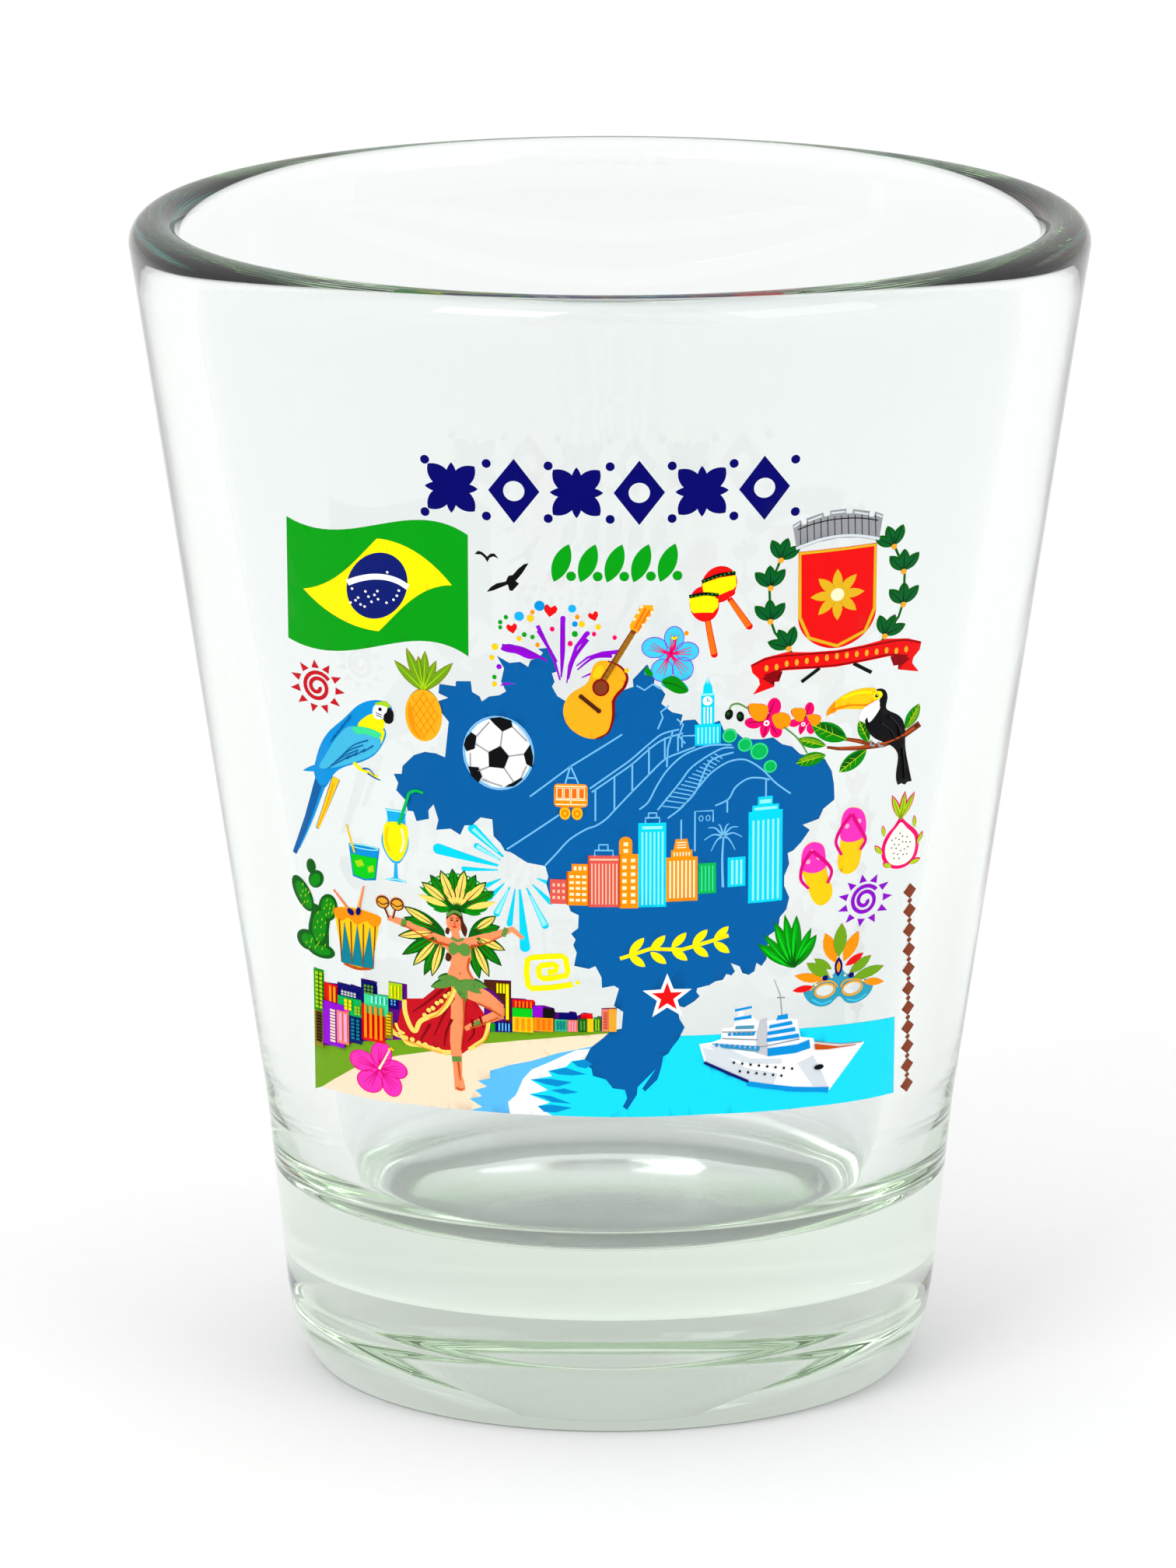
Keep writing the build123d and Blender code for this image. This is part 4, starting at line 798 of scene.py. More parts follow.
def carried_onto_wall(tree, value):
    """Each point's place on the flared wall, in metres: the front half stands proud, the back half is sunk."""
    place = node(tree, "ShaderNodeSeparateXYZ")
    tree.links.new(node(tree, "GeometryNodeInputPosition").outputs[0], place.inputs[0])
    x, y, z = place.outputs
    outer = maths(tree, "LESS_THAN", y, 0.0)
    span = maths(tree, "ADD", value["Proud"], value["Sunk"])
    proud = maths(tree, "SUBTRACT", maths(tree, "MULTIPLY", outer, span), value["Sunk"])
    rise = maths(tree, "SUBTRACT", z, value["Waist Height"])
    bare = maths(tree, "MULTIPLY_ADD", rise, value["Flare"], value["Waist Radius"])
    reach = maths(tree, "ADD", bare, proud)
    reach_squared, x_squared = maths(tree, "MULTIPLY", reach, reach), maths(tree, "MULTIPLY", x, x)
    depth = maths(tree, "SQRT", maths(tree, "SUBTRACT", reach_squared, x_squared))
    on_cone = node(tree, "ShaderNodeCombineXYZ")
    tree.links.new(x, on_cone.inputs["X"])
    tree.links.new(maths(tree, "MULTIPLY", depth, -1.0), on_cone.inputs["Y"])
    tree.links.new(z, on_cone.inputs["Z"])
    metres = node(tree, "ShaderNodeVectorMath", operation="SCALE")
    tree.links.new(on_cone.outputs[0], metres.inputs[0])
    metres.inputs["Scale"].default_value = MM
    return metres.outputs[0]


def tile_rows_tree():
    """Rows of small square-edged tiles of enamel on the flared wall, such as windows and stripes."""
    tree = bpy.data.node_groups.new("tile_rows", "GeometryNodeTree")
    named_input(tree, "Form", "NodeSocketGeometry")
    sockets = {label: named_input(tree, label, "NodeSocketFloat", value) for label,
        value in TILE_VALUES}
    for label in ("Columns", "Rows"):
        sockets[label] = named_input(tree, label, "NodeSocketInt", 3)
    sockets["Finish"] = named_input(tree, "Finish", "NodeSocketMaterial")
    tree.interface.new_socket("Tiles", in_out="OUTPUT", socket_type="NodeSocketGeometry")
    given, put = node(tree, "NodeGroupInput"), node(tree, "NodeGroupOutput")
    move = node(tree, "GeometryNodeSetPosition")
    tree.links.new(flat_rows(tree, given.outputs), move.inputs["Geometry"])
    tree.links.new(carried_onto_wall(tree, given.outputs), move.inputs["Position"])
    finish_tree(tree, move.outputs[0], given.outputs["Finish"], put)
    return tree, sockets


TILE_ROWS = tile_rows_tree()


def tiles(ink, box, columns, rows, fill, level):
    """Rows of tiles in one ink inside a box (left, low, right, high)."""
    tree, sockets = TILE_ROWS
    values = dict(zip(("Left", "Low", "Right", "High"), map(float, box)))
    values["Columns"], values["Rows"] = columns, rows
    values["Fill Across"], values["Fill Up"] = float(fill[0]), float(fill[1])
    values["Proud"] = FILM + COAT * level
    values["Finish"] = enamel(ink)
    seed = bpy.data.meshes.new("seed")
    return ink, baked(seed, tree, sockets, values)


# ---- the picture, print by print ----
def flag_prints():
    enamel_print("flag_field", "flag_green")
    enamel_print("flag_diamond", "yellow")
    band = curve([(-12.95, 44.72), (-12.4, 45.0), (-11.7, 45.22), (-11.0, 45.27), (-10.4, 45.14),
        (-9.92, 44.88)], 0.3)
    stars = [
        (-10.95, 45.55), (-12.72, 44.45), (-12.05, 44.4), (-11.45, 44.5), (-11.6, 44.28),
        (-11.42, 44.08),
        (-12.42, 44.02), (-12.55, 43.86), (-12.3, 43.68), (-12.1, 43.6), (-12.8, 43.7), (-11.0, 43.95),
        (-10.65, 44.15), (-10.48, 44.38), (-10.38, 44.66), (-11.75, 43.9), (-11.9, 44.15),
    ]
    enamel_print(
        "flag_disc", "ink_blue", [("white", [band, *(dot(x, y, 0.065) for x, y in stars)])]
    )


def frieze_prints():
    enamel_print("title_frieze", "navy")
    enamel_print("green_frieze", "flag_green")
    enamel_print("yellow_sprig", "yellow")
    enamel_print("brown_border", "brown")
    enamel_print("birds", "black")


def firework_prints():
    rays = [
        curve([(-5.3, 42.15), (-4.3, 42.1), (-3.1, 41.55)], 0.34, 0.1),
        curve([(-3.5, 43.1), (-3.0, 42.2), (-2.6, 41.5)], 0.22, 0.08),
        curve([(-2.3, 43.4), (-2.28, 42.0), (-2.4, 40.7)], 0.22, 0.08),
        curve([(-1.1, 42.7), (-1.75, 41.7), (-2.05, 40.6)], 0.22, 0.08),
        curve([(0.1, 41.85), (-0.8, 41.75), (-1.6, 41.1)], 0.2, 0.06)]
    enamel_print("firework_rays", "purple", [("violet", rays)])
    spots = {
        "blue": [(-3.45, 44.38, 0.26), (-1.72, 43.48, 0.14)],
        "sky": [(-4.45, 43.8, 0.24), (-1.85, 44.28, 0.2)],
        "amber": [
            (-3.9, 43.72, 0.18), (-4.45, 42.64, 0.13), (-5.65, 42.15, 0.17), (-5.8, 41.58, 0.13),
            (-5.68, 40.2, 0.13), (-1.38, 43.48, 0.16), (-0.58, 43.34, 0.14), (0.82, 41.08, 0.12),
        ],
        "flag_green": [
            (-5.38, 43.45, 0.11), (-5.38, 43.18, 0.1), (-4.2, 42.86, 0.12), (-5.68, 40.57, 0.11),
            (-1.72, 42.97, 0.15), (-3.8, 42.75, 0.11), (-5.1, 43.72, 0.11),
        ],
        "orange": [(-3.8, 44.04, 0.11), (-3.55, 42.35, 0.11), (-1.6, 43.85, 0.12), (3.75, 42.95, 0.11)],
        "magenta": [(-2.83, 43.2, 0.12), (-1.95, 42.47, 0.13), (-0.78, 42.98, 0.11),
        (0.23, 42.8, 0.11)],
    }
    coats = [(ink, [oval(x, y, r, sides=14) for x, y, r in places]) for ink, places in spots.items()]
    enamel_print("confetti", "red", coats)


def guitar_prints():
    side = [
        curve([(0.17, 39.5), (0.15, 38.6), (-0.1, 37.85), (-0.7, 37.52)], 0.16, 0.05),
        curve([(0.7, 40.2), (0.85, 40.75), (0.5, 41.3), (-0.1, 41.58)], 0.16, 0.05),
        curve([(0.17, 39.45), (0.3, 39.75), (0.7, 40.2)], 0.14),
    ]
    glow = soft((-0.85, 40.75), (-0.5, 40.75), (-0.3, 41.2), (-0.6, 41.35))
    hole, rosette = oval(-0.45, 40.2, 0.33, 0.36), oval(-0.45, 40.2, 0.42, 0.45)
    bridge = stroke([(-1.42, 39.72), (-0.55, 38.98)], 0.2)
    pins = [dot(-1.42, 39.72, 0.12), dot(-0.55, 38.98, 0.12)]
    head = [stroke([(1.2, 43.25), (1.75, 44.3)], 0.07), stroke([(1.38, 43.15), (1.95, 44.2)], 0.07)]
    pegs = [dot(x, y, 0.075) for x, y in ((1.2, 43.75), (1.38, 44.1), (1.55, 44.38), (1.62, 43.45),
        (1.85, 43.8), (2.05, 44.1))]
    enamel_print(
        "guitar_body",
        "sun_orange",
        [
            ("amber", [glow]),
            ("wine", [*side, rosette]),
            ("brown", [hole]),
            ("umber", [bridge, *pins]),
            ("tangerine", head),
            ("cream", pegs),
        ],
    )
    strings = [
        stroke([(-0.95 + dx, 39.35 - dx * 0.6), (1.1 + dx, 43.0 - dx * 0.6)], 0.014) for dx in (-0.07,
        0.0, 0.07)
    ]
    frets = []
    for i in range(9):
        t = 0.2 + 0.085 * i
        x, y = -0.55 + 1.73 * t, 40.2 + 2.95 * t
        frets.append(stroke([(x - 0.14, y + 0.08), (x + 0.14, y - 0.08)], 0.03))
    enamel_print("guitar_neck", "brown", [("umber", frets), ("amber", strings)])


def maraca_prints():
    waists = [
        poly((4.5, 45.5), (5.35, 45.75), (6.15, 45.85), (6.2, 45.3), (5.8, 44.85), (5.1, 44.65),
        (4.6, 44.9)),
        poly((3.88, 44.75), (4.6, 44.88), (5.3, 44.8), (5.3, 44.25), (4.9, 43.8), (4.3, 43.75),
        (3.95, 44.15)),
    ]
    bands = [
        curve([(4.5, 45.58), (5.3, 45.88), (6.15, 45.95)], 0.17),
        curve([(3.88, 44.84), (4.6, 44.96), (5.32, 44.86)], 0.16),
    ]
    stitches = [dot(4.62 + 0.2 * i, 45.64 + 0.055 * i, 0.045) for i in range(8)]
    stitches += [dot(4.0 + 0.2 * i, 44.86 + 0.012 * i, 0.042) for i in range(7)]
    feet = [
        soft((5.15, 44.75), (5.6, 44.62), (6.1, 44.85), (6.05, 45.1), (5.6, 44.95)),
        soft((4.05, 43.95), (4.4, 43.62), (4.8, 43.58), (5.15, 43.9), (4.7, 43.98)),
    ]
    handles = [
        curve([(5.9, 44.55), (6.3, 43.95), (6.82, 43.15)], 0.2, 0.27),
        curve([(4.8, 43.55), (4.9, 42.9), (5.1, 41.8)], 0.2, 0.27),
    ]
    enamel_print(
        "maracas",
        "red",
        [
            ("yellow", waists),
            ("red", feet),
            ("black", bands),
            ("flag_green", stitches),
            ("tangerine", handles),
        ],
    )


def petal_lines(middle, petals):
    """The edges and veins of a five-petalled flower."""
    edges, veins = [], []
    for x, y, across, high, turn in petals:
        edges.append(ring(oval(x, y, across * 0.97, high * 0.97, turn, 24), 0.035))
        for aside in (-0.22, 0.0, 0.22):
            dx, dy = x - middle[0], y - middle[1]
            tip = (middle[0] + dx * 1.25 - dy * aside, middle[1] + dy * 1.25 + dx * aside)
            veins.append(stroke([middle, tip], 0.07, 0.015))
    return edges, veins


BLUE_PETALS = (
    (3.15, 42.72, 0.5, 0.62, 0), (2.18, 42.25, 0.64, 0.55, 0), (2.56, 41.05, 0.56, 0.6, 0),
    (3.58, 41.1, 0.53, 0.62, 0), (3.8, 42.0, 0.58, 0.5, 0),
)
PINK_PETALS = (
    (-11.5, 19.7, 0.55, 0.68, -12), (-12.5, 19.1, 0.65, 0.58, 0), (-12.1, 18.05, 0.68, 0.62, 0),
    (-10.98, 18.12, 0.52, 0.66, 10), (-10.8, 19.0, 0.65, 0.5, -10),
)


def hibiscus_prints():
    middle = (2.95, 41.9)
    edges, veins = petal_lines(middle, BLUE_PETALS)
    greens = [
        soft((2.55, 40.5), (3.05, 40.75), (3.5, 40.5), (3.85, 39.95), (3.4, 39.82), (2.9, 40.05)),
        soft((1.68, 41.05), (1.8, 41.25), (2.05, 41.0), (2.08, 40.8), (1.85, 40.8)),
    ]
    ribs = [curve([(2.6, 40.45), (3.2, 40.3), (3.8, 39.97)], 0.06, 0.02)]
    stamen = [curve([middle, (3.2, 42.3), (3.15, 42.75)], 0.12, 0.07)]
    grains = [dot(3.15 + 0.09 * i, 42.7 + 0.05 * (i % 2), 0.06) for i in (-1, 0, 1)]
    enamel_print(
        "hibiscus_blue",
        "petal",
        [
            ("purple", edges),
            ("magenta", veins),
            ("leaf_green", greens),
            ("forest", ribs),
            ("magenta", [oval(*middle, 0.17), *stamen]),
            ("yellow", grains),
        ],
    )
    middle = (-11.62, 18.85)
    edges, veins = petal_lines(middle, PINK_PETALS)
    stamen = [curve([middle, (-11.35, 19.4), (-11.0, 20.15)], 0.13, 0.07)]
    grains = [dot(-11.0 + 0.1 * i, 20.1 - 0.05 * abs(i), 0.06) for i in (-1, 0, 1)]
    enamel_print(
        "hibiscus_pink",
        "pink",
        [("rose", edges + veins), ("cream", stamen), ("amber", grains)],
    )


def crest_prints():
    joints = [curve([(9.2, 47.95), (10.1, 48.2), (11.2, 48.3), (12.3, 48.2), (13.2, 47.95)], 0.05)]
    for i in range(12):
        x = 9.35 + 0.34 * i
        bend = 0.11 * ((x - 11.2) / 2.1) ** 2
        joints.append(stroke([(x, 47.35 - 2 * bend), (x - 0.03, 48.45 - 2 * bend)], 0.035))
    rim = [curve([(9.12, 46.98), (10.2, 47.3), (11.2, 47.4), (12.2, 47.3), (13.28, 46.98)], 0.14)]
    caps = [curve([(9.0, 48.1), (9.3, 48.28)], 0.09), curve([(9.7, 48.35), (10.4, 48.55)], 0.09),
            curve([(10.85, 48.64), (11.55, 48.64)], 0.09), curve([(12.0, 48.55), (12.7, 48.35)], 0.09),
            curve([(13.1, 48.28), (13.4, 48.1)], 0.09)]
    enamel_print("crest_crown", "silver", [
        ("black", joints), ("pearl", rim + caps)])
    border = [(9.33, 46.7), (9.33, 43.38), (9.8, 42.25), (11.2, 41.66), (12.6, 42.25), (13.07, 43.38),
        (13.07, 46.7)]
    heart = (11.2, 44.35)
    petals = []
    for i in range(8):
        a = math.pi / 4 * i
        petals.append(leaf(heart, (heart[0] + 1.35 * math.cos(a), heart[1] + 1.35 * math.sin(a)), 0.5))
    button = [dot(*heart, 0.34)]
    enamel_print("crest_shield", "red", [
        ("old_gold", [stroke(border, 0.17, closed=True), *petals]), ("cream", button)])
    greens, ribs, berries = [], [], []
    for side in (0, 1):
        for (x, z), heading in (((8.38, 46.5), 72), ((7.88, 45.1), 92), ((7.88, 43.35), 92),
            ((8.8, 41.85), 118)):
            x, heading = (22.4 - x, 180 - heading) if side else (x, heading)
            for turn in (-42, 0, 42):
                tip = toward((x, z), 1.0, heading + turn)
                greens.append(leaf((x, z), tip, 0.4))
                ribs.append(stroke([(x, z), tip], 0.05, 0.01))
            berries.append(dot(x, z - 0.06, 0.15))
    batons = [stroke([(9.45, 39.98), (10.35, 40.6)], 0.14), stroke([(12.95, 39.98), (12.05, 40.6)],
        0.14)]
    enamel_print("crest_laurels", "forest", [
        ("laurel", greens), ("black", ribs), ("gold", berries), ("black", batons)])
    folds = [poly((8.1, 39.92), (8.0, 40.14), (8.34, 40.16), (8.2, 40.42), (8.5, 40.62), (8.1, 40.7),
        (7.5, 40.35)),
             poly((14.3, 39.92), (14.4, 40.14), (14.06, 40.16), (14.2, 40.42), (13.9, 40.62),
             (14.3, 40.7), (14.9, 40.35))]
    hems = [curve([(6.98, 41.08), (8.0, 41.42), (9.9, 41.4), (11.2, 41.34), (12.5, 41.4), (14.4, 41.42),
        (15.42, 41.08)], 0.07),
            curve([(7.6, 40.5), (8.6, 40.76), (9.9, 40.7), (11.2, 40.65), (12.5, 40.7), (13.8, 40.76),
            (14.8, 40.5)], 0.07)]
    beads = []
    for i in range(15):
        lift = 0.1 if 1 < i < 13 else 0.0
        beads.append(oval(7.7 + 0.5 * i, 41.02 - 0.02 * abs(i - 7) + lift, 0.1, 0.17, sides=10))
    enamel_print("crest_ribbon", "red", [("wine", folds + hems), ("gold", beads)])


SUN_RED = (-14.55, 38.9)
SUN_PURPLE = (12.75, 27.8)


def swirl(centre):
    """The bolder line of a spiral that winds outward, over the one in the ground."""
    line = []
    for i in range(41):
        share = i / 40
        reach = 0.12 + 0.6 * share**0.8
        angle = math.pi + share * 1.9 * 2 * math.pi
        line.append((centre[0] - reach * math.cos(angle), centre[1] + 1.12 * reach * math.sin(angle)))
    return stroke(line, 0.19)


def sun_prints():
    enamel_print("sun_red", "crimson", [("crimson", [swirl(SUN_RED)])])
    enamel_print("sun_purple", "violet", [("violet", [swirl(SUN_PURPLE)])])
    maze = [(-1.85, 24.5), (-2.9, 24.3), (-3.9, 24.2), (-4.06, 24.32), (-4.15, 25.0), (-4.1, 25.72),
        (-3.9, 25.85), (-3.1, 25.95),
            (-2.35, 26.0), (-2.2, 25.85), (-2.1, 25.2), (-2.15, 24.98), (-2.8, 24.82), (-3.3, 24.75),
            (-3.5, 24.85), (-3.55, 25.3),
            (-3.4, 25.45), (-2.8, 25.55), (-2.65, 25.45), (-2.68, 25.2), (-3.1, 25.08)]
    enamel_print("square_spiral", "yellow",
        [("yellow", [stroke(maze, 0.29), dot(-1.6, 24.6, 0.11)])])


def parrot_prints():
    tail_light = [curve([(-14.3, 33.6), (-14.95, 31.6), (-15.6, 29.9)], 0.16, 0.05)]
    under = [curve([(-13.65, 34.2), (-14.15, 32.7), (-14.62, 31.3)], 0.36, 0.14)]
    shaft = [curve([(-13.8, 33.9), (-14.2, 32.5), (-14.6, 31.4)], 0.05, 0.02)]
    enamel_print("parrot_tail", "map_blue", [("blue", tail_light), ("amber", under),
        ("orange", shaft)])
    breast = soft((-11.2, 37.75), (-11.7, 38.0), (-12.15, 37.75), (-12.5, 37.3), (-12.3, 36.9),
        (-11.5, 37.1), (-11.2, 37.3))
    belly = soft((-12.3, 36.0), (-11.6, 36.1), (-11.25, 36.7), (-11.2, 37.2), (-11.7, 37.0),
        (-12.4, 36.6))
    wing = soft(
        (-12.9, 37.15), (-12.0, 37.0), (-11.4, 36.75), (-11.45, 36.2), (-12.0, 35.65), (-13.0, 35.1),
        (-13.9, 34.7), (-14.5, 34.6), (-14.2, 35.3), (-13.6, 36.4))
    shoulder = soft((-12.75, 37.15), (-12.0, 37.2), (-11.35, 37.0), (-11.5, 36.75), (-12.1, 36.85),
        (-12.6, 36.8))
    quills, coverts = [], []
    for i in range(4):
        root, bend, tip = (-12.0 - 0.25 * i, 36.55 - 0.3 * i), (-12.75 - 0.22 * i,
            36.15 - 0.32 * i), (-13.5 - 0.2 * i, 35.3 - 0.22 * i)
        quills.append(curve([root, bend, tip], 0.07, 0.03))
        root, tip = (-11.75 - 0.4 * i, 36.3 - 0.25 * i), (-12.3 - 0.4 * i, 35.85 - 0.25 * i)
        coverts.append(curve([root, tip], 0.08, 0.03))
    barbs = []
    for i in range(5):
        root, tip = (-12.9 - 0.2 * i, 37.7 - 0.3 * i), (-13.1 - 0.2 * i, 37.3 - 0.3 * i)
        barbs.append(curve([root, tip], 0.06, 0.02))
    crown = soft((-11.55, 38.62), (-11.1, 38.74), (-10.86, 38.5), (-11.0, 38.46), (-11.3, 38.52),
        (-11.6, 38.5))
    face = soft((-11.65, 38.45), (-11.2, 38.52), (-10.95, 38.35), (-11.1, 37.95), (-11.5, 37.75),
        (-11.75, 38.0))
    beak = soft((-10.98, 38.42), (-10.72, 38.25), (-10.72, 37.8), (-10.92, 37.6), (-11.15, 37.68),
        (-11.2, 38.0), (-11.05, 38.2))
    eye = [oval(-11.38, 38.3, 0.09, 0.09, sides=12)]
    cheek = [curve([(-11.6, 38.1), (-11.3, 38.0)], 0.03), curve([(-11.6, 37.98), (-11.3, 37.88)], 0.03)]
    toes = [curve([(-12.75, 35.3), (-12.5, 34.98), (-12.1, 34.84), (-11.5, 34.66)], 0.2, 0.1)]
    claws = [curve([(-12.3, 34.98), (-11.95, 35.0), (-11.7, 34.72)], 0.08, 0.03),
        curve([(-12.05, 34.78), (-11.7, 34.6), (-11.4, 34.5)], 0.08, 0.03)]
    enamel_print("parrot_body", "blue", [
        ("yellow", [breast, belly, *toes]), ("wing", [wing]), ("mint", [shoulder]),
        ("map_blue", quills + coverts + barbs + claws), ("white", [face]), ("lime", [crown]),
        ("black", [beak, *eye, *cheek])])


def pineapple_print():
    leaves, ribs = [], []
    for tip, width in (((-10.6, 40.9), 0.42), ((-10.0, 41.6), 0.42), ((-9.45, 41.25), 0.42),
        ((-9.1, 41.55), 0.42),
                       ((-8.6, 41.1), 0.38), ((-7.8, 41.08), 0.42)):
        leaves.append(leaf((-9.2, 39.55), tip, width))
        ribs.append(stroke([(-9.2, 39.6), tip], 0.08, 0.02))
    rind = [oval(-9.2, 38.25, 0.92, 1.36, sides=30)]
    shade = [soft((-9.9, 38.9), (-9.98, 38.2), (-9.75, 37.4), (-9.3, 37.02), (-9.65, 37.6),
        (-9.75, 38.3))]
    net = []
    for i in range(-4, 5):
        for way in (-1, 1):
            line = []
            for k in range(9):
                v = -1.2 + 0.3 * k
                u = way * v * 0.62 + i * 0.36
                if (u / 0.8) ** 2 + (v / 1.26) ** 2 < 1:
                    line.append((-9.2 + u, 38.28 + v))
            if len(line) > 2:
                net.append(stroke(line, 0.05))
    enamel_print("pineapple", "olive", [
        ("lawn", leaves), ("lime", ribs), ("sun_orange", rind), ("orange", shade + net)])


def orchid_prints():
    oranges = [
        soft((6.85, 39.02), (7.3, 39.05), (7.78, 38.85), (7.7, 38.3), (7.42, 38.1), (7.0, 38.35)),
        soft((8.0, 38.35), (8.5, 38.48), (8.9, 38.2), (8.85, 37.75), (8.5, 37.6), (8.15, 37.8)),
        soft((8.98, 38.58), (9.35, 38.62), (9.68, 38.45), (9.6, 38.0), (9.35, 37.9), (9.1, 38.1)),
        soft((9.75, 38.15), (10.1, 38.2), (10.45, 37.95), (10.3, 37.65), (10.0, 37.62))]
    hearts = [dot(7.72, 38.0, 0.15), dot(9.55, 37.75, 0.11)]
    specks = [dot(7.72, 38.0, 0.06), dot(9.55, 37.75, 0.045)]
    veins = [stroke([(7.75, 38.2), (8.1, 39.1)], 0.05, 0.02), stroke([(7.6, 38.1), (6.75, 38.1)], 0.05,
        0.02),
             stroke([(7.72, 37.8), (7.58, 37.3)], 0.05, 0.02), stroke([(9.6, 38.0), (9.9, 38.75)], 0.04,
             0.02),
             stroke([(9.52, 37.6), (9.42, 37.3)], 0.04, 0.02), stroke([(8.0, 37.8), (8.25, 37.35)],
             0.05, 0.02)]
    stem = [curve([(5.88, 38.85), (6.0, 39.08), (6.35, 39.12), (6.85, 38.8)], 0.08),
        curve([(8.6, 37.7), (9.3, 37.0), (9.75, 36.2)], 0.07)]
    buds = [oval(5.86, 38.6, 0.2, 0.27, -15, 16), oval(6.42, 38.45, 0.19, 0.26, 10, 16)]
    glints = [oval(5.82, 38.66, 0.07, 0.1, 0, 10), oval(6.38, 38.5, 0.07, 0.1, 0, 10)]
    enamel_print("orchids", "magenta", [
        ("orange", oranges), ("wine", veins), ("white", hearts), ("magenta", specks),
        ("moss", stem), ("black", buds), ("forest", glints)])


def toucan_prints():
    bark = [curve([(11.4, 36.22), (12.4, 36.12), (13.6, 36.08), (14.5, 36.26), (15.35, 36.66)], 0.06,
        0.1),
            curve([(11.8, 36.6), (12.5, 36.38)], 0.05)]
    knots = [oval(15.3, 36.62, 0.12, 0.09, 30)]
    enamel_print("branch", "brown", [("rust", bark), ("umber", knots)])
    leaves = (((9.98, 37.66), (11.75, 36.62), 0.95, "forest"), ((9.25, 36.98), (10.7, 36.45), 0.56,
        "olive"),
              ((9.22, 35.72), (10.7, 35.95), 0.7, "olive"), ((12.35, 37.5), (12.85, 36.3), 0.56,
              "forest"),
              ((11.38, 34.95), (12.75, 35.9), 0.8, "forest"), ((15.42, 37.78), (14.72, 36.6), 0.62,
              "olive"))
    shades = {"forest": [], "olive": []}
    ribs = []
    for root, tip, width, ink in leaves:
        dx, dy = tip[0] - root[0], tip[1] - root[1]
        length = math.hypot(dx, dy)
        aside = (-dy / length * width * 0.17, dx / length * width * 0.17)
        a, b = between(root, tip, 0.08), between(root, tip, 0.9)
        lit_side = leaf((a[0] + aside[0], a[1] + aside[1]), (b[0] + aside[0], b[1] + aside[1]),
            width * 0.42)
        shades[ink].append(lit_side)
        ribs.append(stroke([root, tip], 0.05, 0.03))
        reach = width * 0.3 / length
        for share in (0.25, 0.42, 0.6):
            x, y = between(root, tip, share)
            for way in (-reach, reach):
                ribs.append(stroke([(x, y), (x - dx * 0.12 - way * dy, y - dy * 0.12 + way * dx)], 0.03,
                    0.012))
    enamel_print("branch_leaves", "leaf_green", [
        ("forest", shades["forest"]), ("lawn", shades["olive"]), ("lime", ribs)])
    tip = [soft((10.7, 38.05), (10.8, 38.4), (11.15, 38.72), (11.1, 38.4), (11.2, 38.2),
        (10.95, 38.12))]
    ridge = [curve([(11.0, 38.3), (11.9, 38.42), (12.75, 38.3), (13.1, 38.45)], 0.05)]
    glow = [curve([(11.5, 38.85), (12.3, 39.02), (13.0, 38.9)], 0.14)]
    throat = [soft((13.3, 38.45), (13.35, 38.1), (12.95, 37.8), (12.5, 37.45), (12.38, 37.85),
        (12.65, 38.2))]
    enamel_print("toucan_beak", "amber", [
        ("yellow", glow), ("orange", tip), ("tangerine", ridge), ("white", throat)])
    bib = [soft((13.05, 38.2), (13.3, 38.25), (13.4, 38.0), (13.1, 37.55), (12.85, 37.35),
        (12.8, 37.7))]
    patch = [oval(13.28, 38.72, 0.25, 0.22, 0, 18)]
    eye = [dot(13.24, 38.7, 0.09)]
    glint = [dot(13.26, 38.73, 0.03)]
    claws = [curve([(13.0, 36.35), (12.95, 36.15), (13.15, 36.05)], 0.1),
        curve([(13.35, 36.2), (13.4, 36.0), (13.6, 35.95)], 0.1)]
    quills = [curve([(13.9, 37.5), (14.35, 36.9), (14.5, 36.2)], 0.06, 0.03),
        curve([(13.5, 37.2), (14.0, 36.7), (14.25, 36.1)], 0.06, 0.03),
              curve([(14.62, 35.6), (14.7, 34.6), (14.75, 33.9)], 0.05, 0.02)]
    enamel_print("toucan_body", "black", [
        ("white", bib), ("yellow", patch), ("black", eye), ("white", glint), ("silver", claws),
        ("charcoal", quills)])


SPINE_TURNS = (62, 82, 108)


